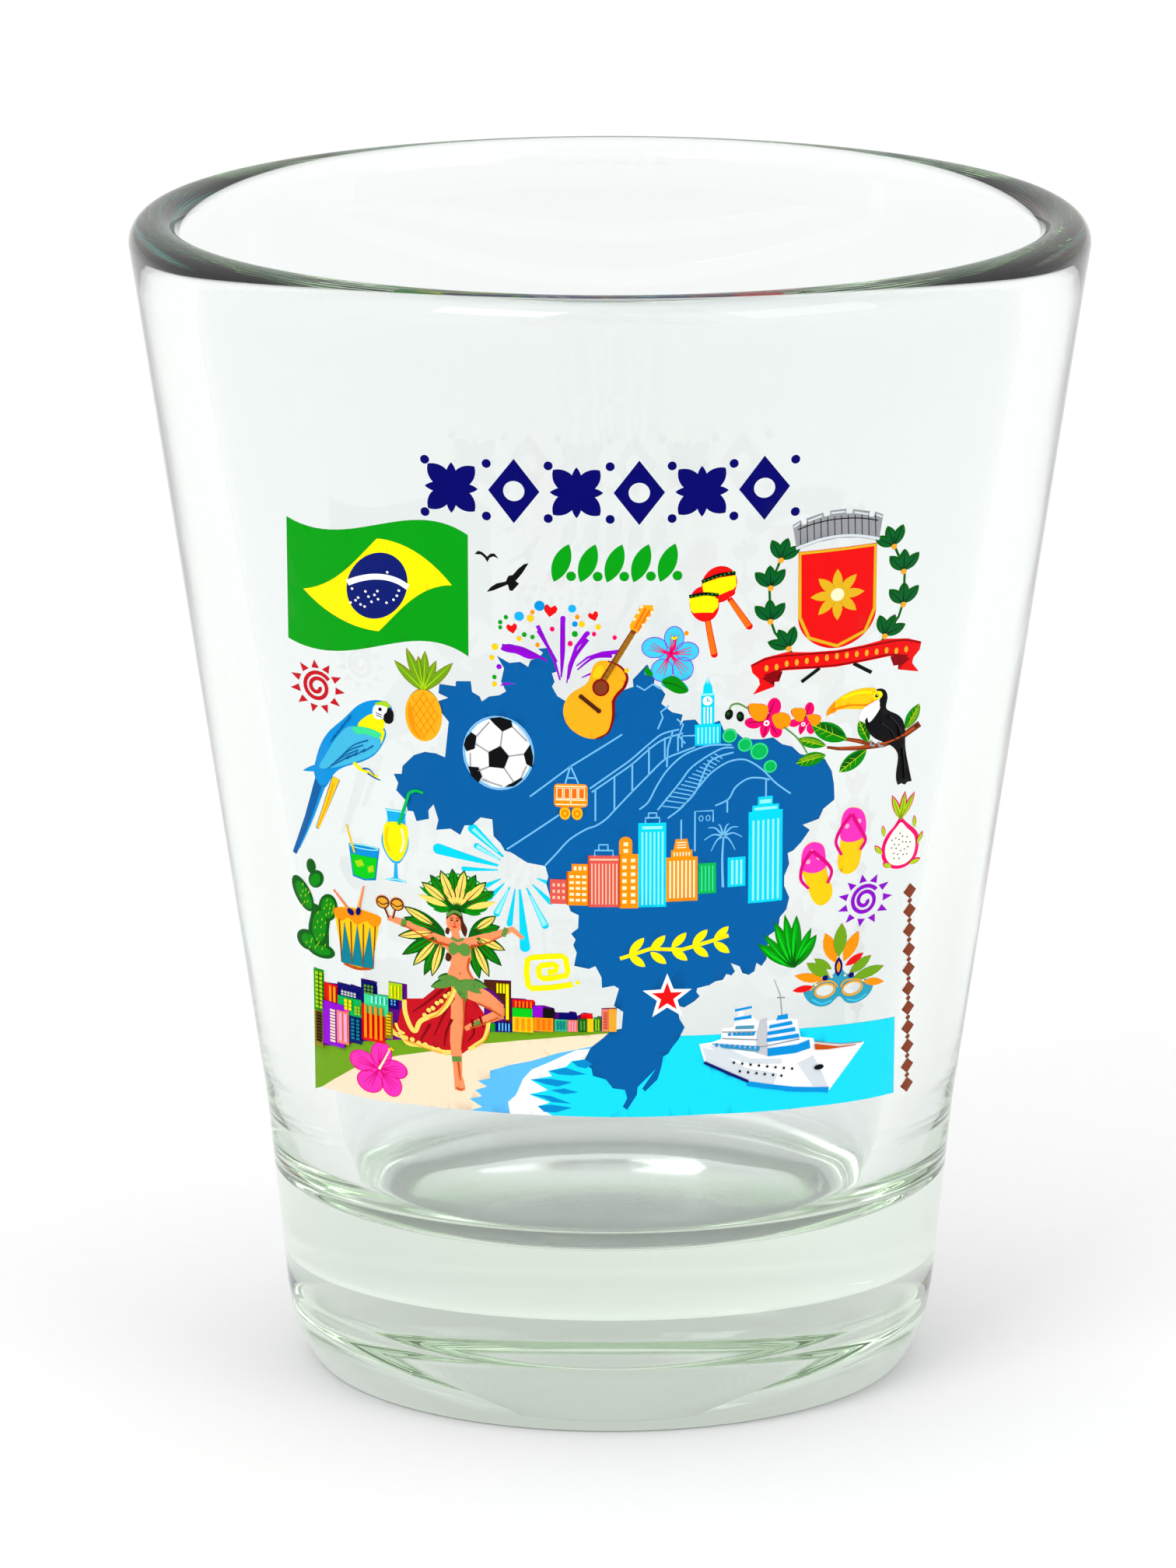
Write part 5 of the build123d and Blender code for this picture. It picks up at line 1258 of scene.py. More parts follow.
def beach_goods_prints():
    left = soft((10.1, 31.4), (10.6, 31.15), (10.75, 30.4), (10.72, 29.95), (10.2, 29.75),
        (9.62, 29.95), (9.5, 30.5), (9.65, 31.15))
    right = soft((12.0, 32.95), (12.55, 32.7), (12.78, 32.0), (12.66, 31.3), (12.1, 31.1),
        (11.5, 31.35), (11.5, 32.2), (11.65, 32.75))
    flowers = [dot(x, z, 0.13) for x, z in ((10.05, 30.9), (10.4, 30.55), (9.85, 30.4), (12.05, 32.5),
        (12.4, 32.15), (11.8, 32.0))]
    straps = [curve(p, 0.2, 0.13) for p in (
        [(10.05, 30.95), (9.6, 30.3), (9.5, 29.5), (9.9, 28.95)], [(10.05, 30.95), (10.7, 30.3),
        (11.05, 29.7), (10.85, 29.1)],
        [(12.05, 32.6), (11.5, 31.9), (11.25, 31.2), (11.55, 30.5)], [(12.05, 32.6), (12.4, 31.9),
        (12.75, 31.1), (12.5, 30.6)])]
    enamel_print("flip_flops", "amber", [
        ("pink", [left, right]), ("blush", flowers), ("rose", straps)])
    flesh = soft((14.58, 31.6), (14.85, 31.25), (15.25, 30.7), (15.32, 30.1), (15.14, 29.52),
        (14.7, 29.28), (14.15, 29.4),
                 (13.82, 29.85), (13.78, 30.5), (14.05, 31.05), (14.35, 31.4))
    seeds = []
    for i in range(1, 23):
        spread = math.sqrt(i / 22)
        x, z = 14.55 + 0.52 * math.cos(2.4 * i) * spread, 30.3 + 0.78 * math.sin(2.4 * i) * spread
        seeds.append(dot(x, z, 0.035))
    crown = (14.55, 31.75)
    scales = [leaf(crown, toward(crown, 1.4, a), 0.26) for a in SPINE_TURNS] + [
        leaf((13.72, 31.0), (13.62, 31.6), 0.15), leaf((15.28, 31.1), (15.25, 31.75), 0.15),
        leaf((13.62, 30.1), (13.26, 30.6), 0.2), leaf((15.42, 30.2), (15.66, 30.75), 0.18),
        leaf((14.1, 29.3), (13.7, 29.55), 0.22), leaf((15.0, 29.22), (15.55, 29.33), 0.22)]
    spines = [stroke([(14.55, 31.8), toward(crown, 1.3, a)], 0.05, 0.01) for a in SPINE_TURNS]
    enamel_print("dragon_fruit", "magenta", [
        ("ivory", [flesh]), ("black", seeds), ("lime", scales), ("olive", spines)])


def drink_prints():
    glass = poly((-13.0, 30.76), (-11.52, 30.78), (-11.6, 30.3), (-12.95, 30.3))
    drink = poly((-12.95, 30.3), (-11.6, 30.3), (-11.74, 29.22), (-12.25, 29.08), (-12.8, 29.2))
    ice = [poly((-12.75, 29.95), (-12.4, 30.1), (-12.25, 29.8), (-12.6, 29.65)),
        poly((-12.1, 29.75), (-11.8, 29.9), (-11.78, 29.55), (-12.05, 29.45))]
    rim = [ring(oval(-12.27, 30.78, 0.72, 0.1, sides=20), 0.05)]
    straw = [stroke([(-13.15, 31.8), (-12.75, 30.4)], 0.09)]
    enamel_print("tumbler_drink", "deep_teal", [
        ("blue", [glass]), ("bright_green", [drink]), ("lime", ice), ("pale_cyan", rim),
        ("amber", straw)])
    juice = soft((-11.12, 32.3), (-10.15, 32.3), (-10.05, 31.4), (-10.25, 30.7), (-10.5, 30.35),
        (-10.82, 30.35), (-11.12, 30.7), (-11.3, 31.35))
    glow = [curve([(-10.35, 32.1), (-10.25, 31.4), (-10.4, 30.85)], 0.12)]
    shade = [curve([(-11.05, 32.1), (-11.15, 31.4), (-10.98, 30.8)], 0.12)]
    lip = [curve([(-11.15, 33.0), (-10.12, 33.0)], 0.09), curve([(-11.1, 32.9), (-11.05, 32.35)], 0.05)]
    straw = [curve([(-10.5, 32.3), (-10.1, 33.6), (-9.95, 34.05), (-9.62, 34.22), (-9.25, 34.15)],
        0.14)]
    foot = [curve([(-11.15, 29.26), (-10.65, 29.34), (-10.15, 29.26)], 0.07)]
    enamel_print("tulip_drink", "sky", [
        ("yellow", [juice]), ("amber", shade), ("cream", glow), ("pale_cyan", lip + foot),
        ("tree_green", straw)])


def garden_prints():
    pads = [oval(-14.15, 27.05, 0.36, 0.6, -10), oval(-15.4, 27.4, 0.3, 0.75, 25),
        oval(-14.8, 28.4, 0.24, 0.4, -25),
            oval(-14.62, 25.9, 0.36, 0.9, -5), oval(-15.2, 24.95, 0.36, 0.38),
            oval(-14.55, 24.62, 0.5, 0.26)]
    spines = []
    for x, z, across, high in ((-14.15, 27.05, 0.3, 0.5), (-15.4, 27.4, 0.26, 0.7),
        (-14.62, 25.9, 0.34, 0.9), (-14.9, 24.85, 0.6, 0.3)):
        for i in range(9):
            a, s = 2.4 * i, math.sqrt((i + 0.5) / 9)
            u, v = x + across * s * math.cos(a), z + high * s * math.sin(a)
            spines.append(stroke([(u, v - 0.07), (u + 0.04, v + 0.08)], 0.055, 0.02))
    enamel_print("cactus", "forest", [("leaf_green", pads), ("lime", spines)])
    skin_top = soft((-13.8, 27.15), (-12.67, 27.32), (-11.53, 27.18), (-11.5, 26.75), (-11.85, 26.55),
        (-12.2, 26.8),
                    (-12.67, 26.5), (-13.1, 26.78), (-13.5, 26.52), (-13.82, 26.8))
    spikes = []
    for x in (-13.3, -12.67, -12.05):
        lean = (x + 12.67) * 0.25
        spikes.append(poly((x + lean * 0.2, 26.5), (x - 0.3 - lean * 0.6, 24.25),
            (x + 0.3 - lean * 0.6, 24.25)))
    cords = [stroke([(x, 26.6), (x + 0.12 * (-12.67 - x), 24.3)], 0.05) for x in (-13.6, -13.0, -12.35,
        -11.75)]
    hoop = [curve([(-13.35, 24.22), (-12.7, 24.1), (-12.0, 24.25)], 0.13)]
    sticks = [stroke([(-13.85, 28.12), (-13.05, 27.2)], 0.09), stroke([(-12.3, 28.65), (-12.55, 27.4)],
        0.09)]
    heads = [oval(-13.0, 27.14, 0.14, 0.2, 40), oval(-12.6, 27.25, 0.12, 0.22, -12)]
    enamel_print("drum", "amber", [
        ("orange", [skin_top]), ("teal", spikes), ("brown", cords), ("rust", hoop), ("coral", sticks),
        ("navy", heads)])
    blades, folds = [], []
    for tip, width in (((7.35, 26.3), 0.62), ((7.62, 26.8), 0.4), ((8.18, 27.4), 0.6),
        ((8.7, 27.72), 0.5),
                       ((9.3, 27.6), 0.6), ((10.05, 26.82), 0.45), ((10.32, 26.4), 0.62)):
        root = (9.2, 24.82)
        dx, dy = tip[0] - root[0], tip[1] - root[1]
        length = math.hypot(dx, dy)
        side = (-dy / length * width * 0.2, dx / length * width * 0.2)
        start = (root[0] + side[0] + dx * 0.15, root[1] + side[1] + dy * 0.15)
        blades.append(leaf(start, between(root, tip, 0.95), width * 0.36))
        folds.append(stroke([root, tip], 0.05, 0.01))
    enamel_print("agave", "leaf_green", [("bright_green", blades), ("forest", folds)])


def mask_prints():
    plumes = (
        ((11.45, 25.0), (11.6, 26.8), 0.62, "lawn"), ((11.3, 24.7), (10.75, 26.4), 0.62, "orange"),
        ((11.7, 24.7), (12.45, 26.2), 0.6, "orange"), ((11.1, 24.4), (10.2, 25.12), 0.36, "lawn"),
        ((11.8, 24.45), (12.72, 24.95), 0.36, "red"), ((11.0, 24.0), (9.82, 24.95), 0.5, "lawn"),
        ((12.0, 24.0), (13.12, 24.72), 0.5, "lawn"), ((10.7, 23.9), (9.22, 24.35), 0.45, "orange"),
        ((12.2, 23.7), (13.78, 23.98), 0.5, "lawn"), ((10.2, 23.6), (9.12, 23.55), 0.32, "red"),
        ((12.7, 23.4), (13.78, 23.1), 0.36, "orange"))
    by_ink = {"lawn": [], "orange": [], "red": []}
    for root, tip, width, ink in plumes:
        by_ink[ink].append(leaf(root, tip, width * 1.1))
    enamel_print("mask_feathers", "tangerine", [
        ("orange", by_ink["orange"]), ("red", by_ink["red"]), ("lawn", by_ink["lawn"])])
    eyes = [ring(oval(10.76, 23.3, 0.5, 0.36, 0, 22), 0.1), ring(oval(12.16, 23.16, 0.5, 0.36, 0, 22),
        0.1)]
    brows = [curve([(10.0, 23.45), (10.5, 23.78), (11.1, 23.75), (11.4, 23.4)], 0.08),
        curve([(11.55, 23.35), (11.8, 23.65), (12.4, 23.6), (12.95, 23.3)], 0.08)]
    shine = [curve([(10.1, 22.95), (10.6, 22.62), (11.1, 22.72)], 0.08),
        curve([(11.9, 22.6), (12.4, 22.45), (12.9, 22.68)], 0.08)]
    jewel = [leaf((11.44, 23.95), (11.46, 25.0), 0.42), dot(10.78, 24.0, 0.15), dot(12.1, 23.9, 0.15)]
    pearls = [dot(10.3, 23.7, 0.06), dot(12.7, 23.48, 0.06), dot(11.1, 24.0, 0.06),
        dot(11.78, 23.95, 0.06)]
    enamel_print("mask_face", "mask_blue", [
        ("petal", shine), ("gold", eyes + brows), ("navy", jewel),
        ("orange", [leaf((11.44, 24.15), (11.46, 24.8), 0.2)]), ("cream", pearls)])


def football_print():
    grey = [ring(oval(-5.5, 36.6, 1.7, 1.88, sides=40), 0.1)]
    middle = [(-5.4, 36.98), (-4.98, 36.47), (-5.22, 35.82), (-5.97, 35.85), (-5.99, 36.62)]
    outer = [
        [(-5.95, 38.4), (-5.68, 38.1), (-5.3, 37.75), (-4.8, 38.02), (-4.85, 38.35), (-5.4, 38.5)],
        [(-6.85, 37.6), (-6.58, 37.42), (-6.68, 36.75), (-7.08, 36.58), (-7.22, 36.9), (-7.1, 37.3)],
        [(-7.0, 35.78), (-6.5, 35.78), (-6.32, 35.3), (-6.5, 34.98), (-6.85, 35.3)],
        [(-5.2, 34.84), (-4.75, 35.12), (-4.38, 35.38), (-4.3, 35.3), (-4.75, 34.9)],
        [(-3.92, 37.15), (-4.25, 36.62), (-4.12, 36.1), (-3.82, 35.95), (-3.78, 36.5)]]
    seams = [
        [(-5.4, 36.98), (-5.3, 37.75)], [(-4.98, 36.47), (-4.25, 36.62)],
        [(-5.22, 35.82), (-4.75, 35.12)],
        [(-5.97, 35.85), (-6.5, 35.6)], [(-5.99, 36.62), (-6.62, 37.0)],
        [(-6.58, 37.42), (-5.95, 38.2)],
        [(-4.8, 38.02), (-4.1, 37.3)], [(-4.38, 35.38), (-4.12, 36.0)], [(-6.32, 35.15), (-5.3, 34.86)],
        [(-6.9, 36.5), (-6.9, 35.8)]]
    shade = [curve([(-4.5, 38.0), (-3.95, 37.2), (-3.9, 36.0), (-4.4, 35.2), (-5.2, 34.82)], 0.14,
        0.08)]
    enamel_print("football", "white", [
        ("pearl", shade), ("line_blue", grey), ("black", [poly(*middle)] + [poly(*p) for p in outer]),
        ("silver", [stroke(p, 0.05) for p in seams])])


def cable_car_print():
    frame_lines = [
        stroke([(-2.68, 34.3), (-1.18, 34.3)], 0.07), stroke([(-2.68, 35.0), (-1.18, 35.0)], 0.06),
        stroke([(-2.68, 34.05), (-1.18, 34.05)], 0.06), stroke([(-1.93, 34.02), (-1.93, 34.3)], 0.05)]
    windows = [ring(block(-2.62 + 0.36 * i, 34.38, -2.34 + 0.36 * i, 34.9), 0.055) for i in range(4)]
    glass = [block(-2.6 + 0.36 * i, 34.4, -2.36 + 0.36 * i, 34.88) for i in range(4)]
    wheels = [ring(oval(x, 33.58, 0.23, 0.26, sides=20), 0.07) for x in (-2.22, -1.62)]
    hubs = [dot(x, 33.58, 0.08) for x in (-2.22, -1.62)]
    enamel_print("cable_car", "orange", [
        ("tangerine", glass), ("cream", frame_lines + windows), ("amber", wheels + hubs)])


def hill_lines():
    """The thin pale line drawing of hills, rails, steps and masts on the map."""
    lines = [
        [(-3.95, 34.4), (-1.95, 36.05), (0.6, 37.75)], [(-5.1, 31.55), (-3.9, 32.45), (-2.5, 33.5)],
        [(-1.95, 36.1), (-2.2, 35.15)], [(-1.95, 36.1), (-1.55, 35.15)], [(-2.1, 35.45), (-1.7, 35.45)],
        [(-1.0, 34.9), (0.2, 35.8), (1.0, 36.4), (2.0, 37.3), (2.6, 37.75), (3.4, 37.95)],
        [(-0.9, 34.72), (0.3, 35.6), (1.1, 36.2), (2.1, 37.1), (2.75, 37.5), (3.6, 37.75)],
        [(-3.2, 30.8), (-2.6, 31.5), (-2.0, 32.2), (-1.2, 32.75), (-0.7, 32.95), (-0.2, 33.3),
        (0.25, 33.8),
         (1.1, 34.75), (1.9, 35.6), (2.7, 36.4), (3.5, 36.75), (4.2, 37.0)],
        [(1.45, 33.8), (1.9, 34.2), (2.3, 35.0), (2.8, 35.8), (3.5, 36.5), (4.2, 36.85), (5.0, 37.05),
        (6.0, 37.0)],
        [(2.85, 33.3), (3.6, 33.9), (4.4, 34.9), (5.0, 35.6), (5.8, 36.1), (6.5, 36.2), (7.0, 36.0),
        (7.6, 35.5), (8.2, 34.8), (8.95, 34.15)],
        [(5.2, 33.85), (5.85, 34.15), (6.2, 34.75), (6.8, 35.15), (7.4, 35.15), (7.9, 35.0)],
        [(5.8, 34.1), (5.8, 33.45)], [(4.2, 31.5), (4.2, 33.6), (5.1, 33.6), (5.1, 33.0)],
        [(3.52, 32.1), (3.52, 33.2)], [(7.72, 34.1), (7.72, 35.05)],
        [(1.75, 33.05), (1.75, 33.35), (2.45, 33.35), (2.45, 33.05)], [(1.9, 33.35), (1.9, 33.6),
        (2.3, 33.6), (2.3, 33.35)],
        [(-0.75, 31.35), (-0.75, 31.65), (0.15, 31.65), (0.15, 31.35)], [(-0.55, 31.65), (-0.55, 31.95),
        (-0.1, 31.95), (-0.1, 31.65)],
        [(3.1, 37.9), (2.85, 37.0), (2.8, 36.0)], [(3.3, 38.5), (3.6, 38.2), (3.4, 37.6), (3.7, 37.2)],
        [(2.35, 38.0), (2.6, 38.6), (2.5, 38.9), (2.9, 39.2)], [(3.55, 37.0), (3.55, 37.6),
        (4.2, 37.6)],
        [(2.35, 33.75), (3.4, 35.1), (4.1, 36.0), (5.4, 36.8), (6.1, 36.85)],
        [(3.5, 33.85), (4.2, 34.6), (4.8, 36.0), (5.3, 36.4), (6.1, 36.6)],
        [(1.3, 40.3), (1.7, 40.05), (2.1, 40.35), (2.5, 40.1)],
    ]
    art = [curve(line, 0.085) if len(line) > 4 else stroke(line, 0.085) for line in lines]
    for x, low, high in ((-0.72, 33.2, 34.85), (0.22, 33.8, 35.55), (1.1, 34.75, 36.25),
        (1.92, 35.6, 37.05), (2.7, 36.4, 37.55), (3.35, 36.8, 37.7)):
        art.append(stroke([(x, low), (x, high)], 0.085))
    return art


def palm():
    """A palm in outline."""
    art = [curve([(5.6, 29.5), (5.56, 31.0), (5.62, 32.15)], 0.13, 0.08)]
    for tip in ((4.85, 32.7), (6.35, 32.65), (4.65, 32.05), (6.55, 32.1), (5.0, 31.45), (6.2, 31.45),
        (5.35, 32.85), (5.9, 32.85)):
        middle = ((5.6 + tip[0]) / 2, (32.2 + tip[1]) / 2 + 0.2)
        art.append(curve([(5.6, 32.2), middle, tip], 0.11, 0.04))
    return art


def stair_steps():
    """Steps between two rails that climb the hill."""
    art = []
    for i in range(15):
        t = i / 14
        left = (2.6 + 2.55 * t, 33.95 + 2.65 * t ** 0.85)
        right = (3.55 + 2.0 * t, 33.8 + 2.5 * t ** 0.85)
        art.append(stroke([left, right], 0.06))
    return art


def map_print():
    lamps = [ring(oval(4.5, 33.22, 0.1, 0.14, sides=10), 0.05),
        ring(oval(4.85, 33.22, 0.1, 0.14, sides=10), 0.05)]
    enamel_print("map_panel", "map_blue", [
        ("line_blue", stair_steps() + hill_lines() + palm() + lamps)])


def tower_prints():
    warm_tiles = [
        tiles("peach", (-2.9, 28.95, -2.18, 29.95), 3, 3, (0.55, 0.5), 2),
        tiles("cream", (-2.05, 28.85, -1.12, 30.4), 3, 5, (0.7, 0.45), 2),
        tiles("cream", (-1.84, 30.52, -1.12, 30.86), 3, 1, (0.6, 0.6), 2),
        tiles("cream", (0.5, 28.75, 1.36, 31.3), 2, 7, (0.5, 0.5), 2),
        tiles("cream", (0.62, 31.45, 0.95, 32.15), 1, 2, (0.7, 0.55), 2),
        tiles("cream", (2.88, 29.0, 4.26, 31.1), 7, 1, (0.45, 0.94), 2),
        tiles("cream", (3.1, 31.26, 4.0, 31.52), 6, 1, (0.45, 0.8), 2),
        tiles("cream", (3.3, 31.66, 3.78, 32.06), 1, 3, (1.0, 0.4), 2),
        tiles("peach", (-0.98, 28.75, 0.42, 31.0), 8, 1, (0.42, 0.96), 3)]
    red = [block(-2.97, 28.78, -2.12, 30.08)]
    coral = [block(-1.06, 28.65, 0.47, 31.38)]
    band = [block(-1.0, 31.12, 0.41, 31.22)]
    edges = [stroke([(-1.06, 28.7), (-1.06, 31.38)], 0.06), stroke([(0.47, 28.65), (0.47, 31.4)], 0.06),
             stroke([(-2.12, 28.75), (-2.12, 30.5)], 0.06)]
    enamel_print("towers_warm", "orange", [
        ("salmon", red + coral), ("peach", band), ("rust", edges)], warm_tiles)
    cyan_tiles = [
        tiles("pale_cyan", (1.5, 28.75, 2.7, 32.6), 6, 1, (0.42, 1.0), 1),
        tiles("pale_cyan", (1.6, 32.7, 2.6, 32.95), 1, 1, (1.0, 0.6), 1),
        tiles("pale_cyan", (5.95, 29.6, 6.62, 30.9), 3, 1, (0.5, 1.0), 1),
        tiles("pale_cyan", (6.98, 28.65, 8.46, 32.9), 6, 1, (0.42, 1.0), 1),
        tiles("pale_cyan", (7.15, 33.42, 8.28, 33.6), 1, 1, (1.0, 0.8), 1),
        tiles("pale_cyan", (7.42, 33.75, 7.98, 34.0), 1, 1, (1.0, 0.8), 1)]
    enamel_print("towers_cyan", "cyan", [], cyan_tiles)
    rings = [ring(oval(x, z, r * 0.86, r * 0.86, sides=20), 0.06) for x, z, r in (
        (5.9, 37.48, 0.37), (6.66, 36.95, 0.37), (7.37, 36.55, 0.46), (7.92, 35.7, 0.34))]
    enamel_print("map_greens", "tree_green", [("mint", rings)], [
        tiles("mint", (4.46, 29.35, 5.18, 30.7), 4, 1, (0.4, 1.0), 2)])
    clock_tiles = [
        tiles("pale_cyan", (4.25, 37.15, 5.4, 38.0), 6, 1, (0.4, 1.0), 1),
        tiles("white", (4.56, 38.2, 5.06, 39.05), 3, 1, (0.4, 1.0), 1)]
    enamel_print("clock_tower", "cyan", [
        ("pale_cyan", [block(4.44, 39.66, 5.16, 39.76), stroke([(4.8, 40.3), (4.8, 40.58)], 0.08)]),
        ("white", [oval(4.8, 39.38, 0.24, sides=20)]),
        ("deep_teal", [stroke([(4.8, 39.38), (4.8, 39.55)], 0.04), stroke([(4.8, 39.38), (4.92, 39.38)],
        0.04)])], clock_tiles)


def star_print():
    middle, reach = (2.85, 23.78), 0.8
    arms = []
    for i in range(5):
        ring_points = []
        for turn, share in ((-36, 0.4), (0, 1.0), (36, 0.4)):
            ring_points.append(toward(middle, reach * share, 90 + 72 * i + turn))
        arms.append(poly(middle, *ring_points))
    enamel_print("star_mark", "white", [("red", arms)])


def burst_print():
    pale = []
    centre = (-4.55, 30.45)
    for tip, width in (((-6.6, 31.6), 0.2), ((-5.62, 28.1), 0.22), ((-3.22, 27.6), 0.24),
        ((-6.78, 32.5), 0.2)):
        pale.append(stroke([between(centre, tip, 0.45), tip], 0.06, width))
    enamel_print("ray_burst", "cyan", [("pale_cyan", pale)])


HEADDRESS = (-7.6, 28.1)


def crown_plumes():
    """Greens, golds and shafts of the plumes over the head."""
    greens, golds, shafts = [], [], []
    for i, a in enumerate(range(32, 160, 16)):
        start, tip = toward(HEADDRESS, 0.7, a), toward(HEADDRESS, 2.1, a)
        (golds if i % 2 else greens).append(leaf(start, tip, 0.42))
        shafts.append(stroke([start, tip], 0.05, 0.01))
        for reach in (1.0, 1.35, 1.7):
            spot = toward(HEADDRESS, reach, a)
            greens += [leaf(spot, toward(spot, 0.36, a + way * 48), 0.13) for way in (-1, 1)]
    for i, (a, reach) in enumerate(((2, 1.5), (14, 2.0), (26, 2.1), (154, 2.1), (166, 2.0),
        (178, 1.5))):
        c, s = math.cos(math.radians(a)), math.sin(math.radians(a))
        upper = leaf((-7.6 + 0.5 * c, 28.15 + 0.4 * s), (-7.6 + reach * c, 28.2 + reach * s), 0.34)
        lower = leaf((-7.6 + 0.35 * c, 28.0 + 0.3 * s),
            (-7.6 + 0.8 * reach * c, 27.95 + 0.8 * reach * s), 0.26)
        (golds if i in (1, 4) else greens).append(upper)
        greens.append(lower)
    inner = [
        leaf(toward(HEADDRESS, 0.3, a), toward(HEADDRESS, 1.3, a), 0.24) for a in (58, 74, 90, 106, 122)
    ]
    return greens, golds, shafts, inner


def dancer_feather_print():
    greens, golds, shafts, inner = crown_plumes()
    wings = (
        ((-8.25, 26.9), ((-10.3, 27.95), (-10.3, 27.35), (-10.6, 26.3), (-10.4, 25.3), (-9.85, 24.8),
        (-9.3, 24.35), (-8.9, 24.35))),
        ((-7.0, 26.9), ((-5.65, 27.95), (-5.45, 27.4), (-5.2, 26.15), (-5.38, 25.3), (-6.0, 24.65),
        (-6.5, 24.5))))
    for root, tips in wings:
        for i, tip in enumerate(tips):
            near, far = between(root, tip, 0.25), between(root, tip, 0.96)
            (greens if i % 2 else golds).append(leaf(near, far, 0.36))
            shafts.append(stroke([near, far], 0.05, 0.01))
            half = between(root, tip, 0.55)
            side = 0.14 if i % 2 else -0.14
            greens.append(leaf((near[0] + side, near[1]), (half[0] + side, half[1]), 0.16))
    mosses = [leaf((-7.5, 24.35), tip, 0.44) for tip in ((-8.95, 23.8), (-8.6, 24.35), (-6.1, 24.1),
        (-6.4, 23.75), (-7.2, 23.2))]
    enamel_print("dancer_feathers", "forest", [
        ("leaf_green", greens), ("moss", mosses), ("straw", golds + inner), ("umber", shafts)])


def dancer_skirt_print():
    folds = [curve(p, 0.16, 0.05) for p in (
        [(-7.9, 23.9), (-8.7, 22.9), (-9.5, 21.9), (-9.9, 21.3)], [(-7.8, 23.4), (-8.3, 22.4),
        (-8.8, 21.2)],
        [(-8.3, 23.8), (-9.2, 22.9), (-9.9, 22.3)], [(-7.9, 22.2), (-8.2, 21.4), (-8.3, 20.7)],
        [(-9.0, 21.8), (-9.3, 21.2), (-9.5, 20.8)], [(-6.9, 22.3), (-6.8, 21.6), (-7.1, 21.1)],
        [(-6.5, 22.5), (-6.3, 21.9)])]
    hems = [curve(p, w) for p, w in (
        ([(-7.7, 24.0), (-8.0, 23.2), (-8.5, 22.5), (-9.0, 22.2), (-9.5, 21.85), (-9.75, 21.3),
        (-10.0, 21.5), (-10.25, 22.2), (-10.3, 22.9)], 0.24),
        ([(-11.0, 21.2), (-10.75, 20.95), (-10.4, 20.85), (-10.1, 20.55), (-9.3, 20.55), (-8.4, 20.38),
        (-7.95, 20.42)], 0.22),
        ([(-7.05, 20.65), (-6.7, 20.95), (-6.3, 21.3), (-6.12, 21.8), (-6.05, 22.3)], 0.2),
        ([(-10.75, 21.55), (-10.6, 21.2), (-10.3, 21.05)], 0.14))]
    trim = [curve(p, 0.07) for p in (
        [(-7.8, 24.0), (-8.12, 23.2), (-8.6, 22.42), (-9.05, 22.1)], [(-10.3, 20.72), (-9.3, 20.46),
        (-8.4, 20.3)],
        [(-6.75, 20.85), (-6.25, 21.25), (-6.02, 21.8)])]
    frill = [dot(-10.9 + 0.33 * i, 21.0 - 0.085 * i + 0.05 * (i % 2), 0.13) for i in range(9)]
    frill += [dot(-7.8 - 0.21 * i, 23.85 - 0.22 * i - 0.08 * (i % 2), 0.12) for i in range(8)]
    enamel_print("dancer_skirt", "crimson", [
        ("wine", folds), ("straw", hems + frill), ("gold", trim)])


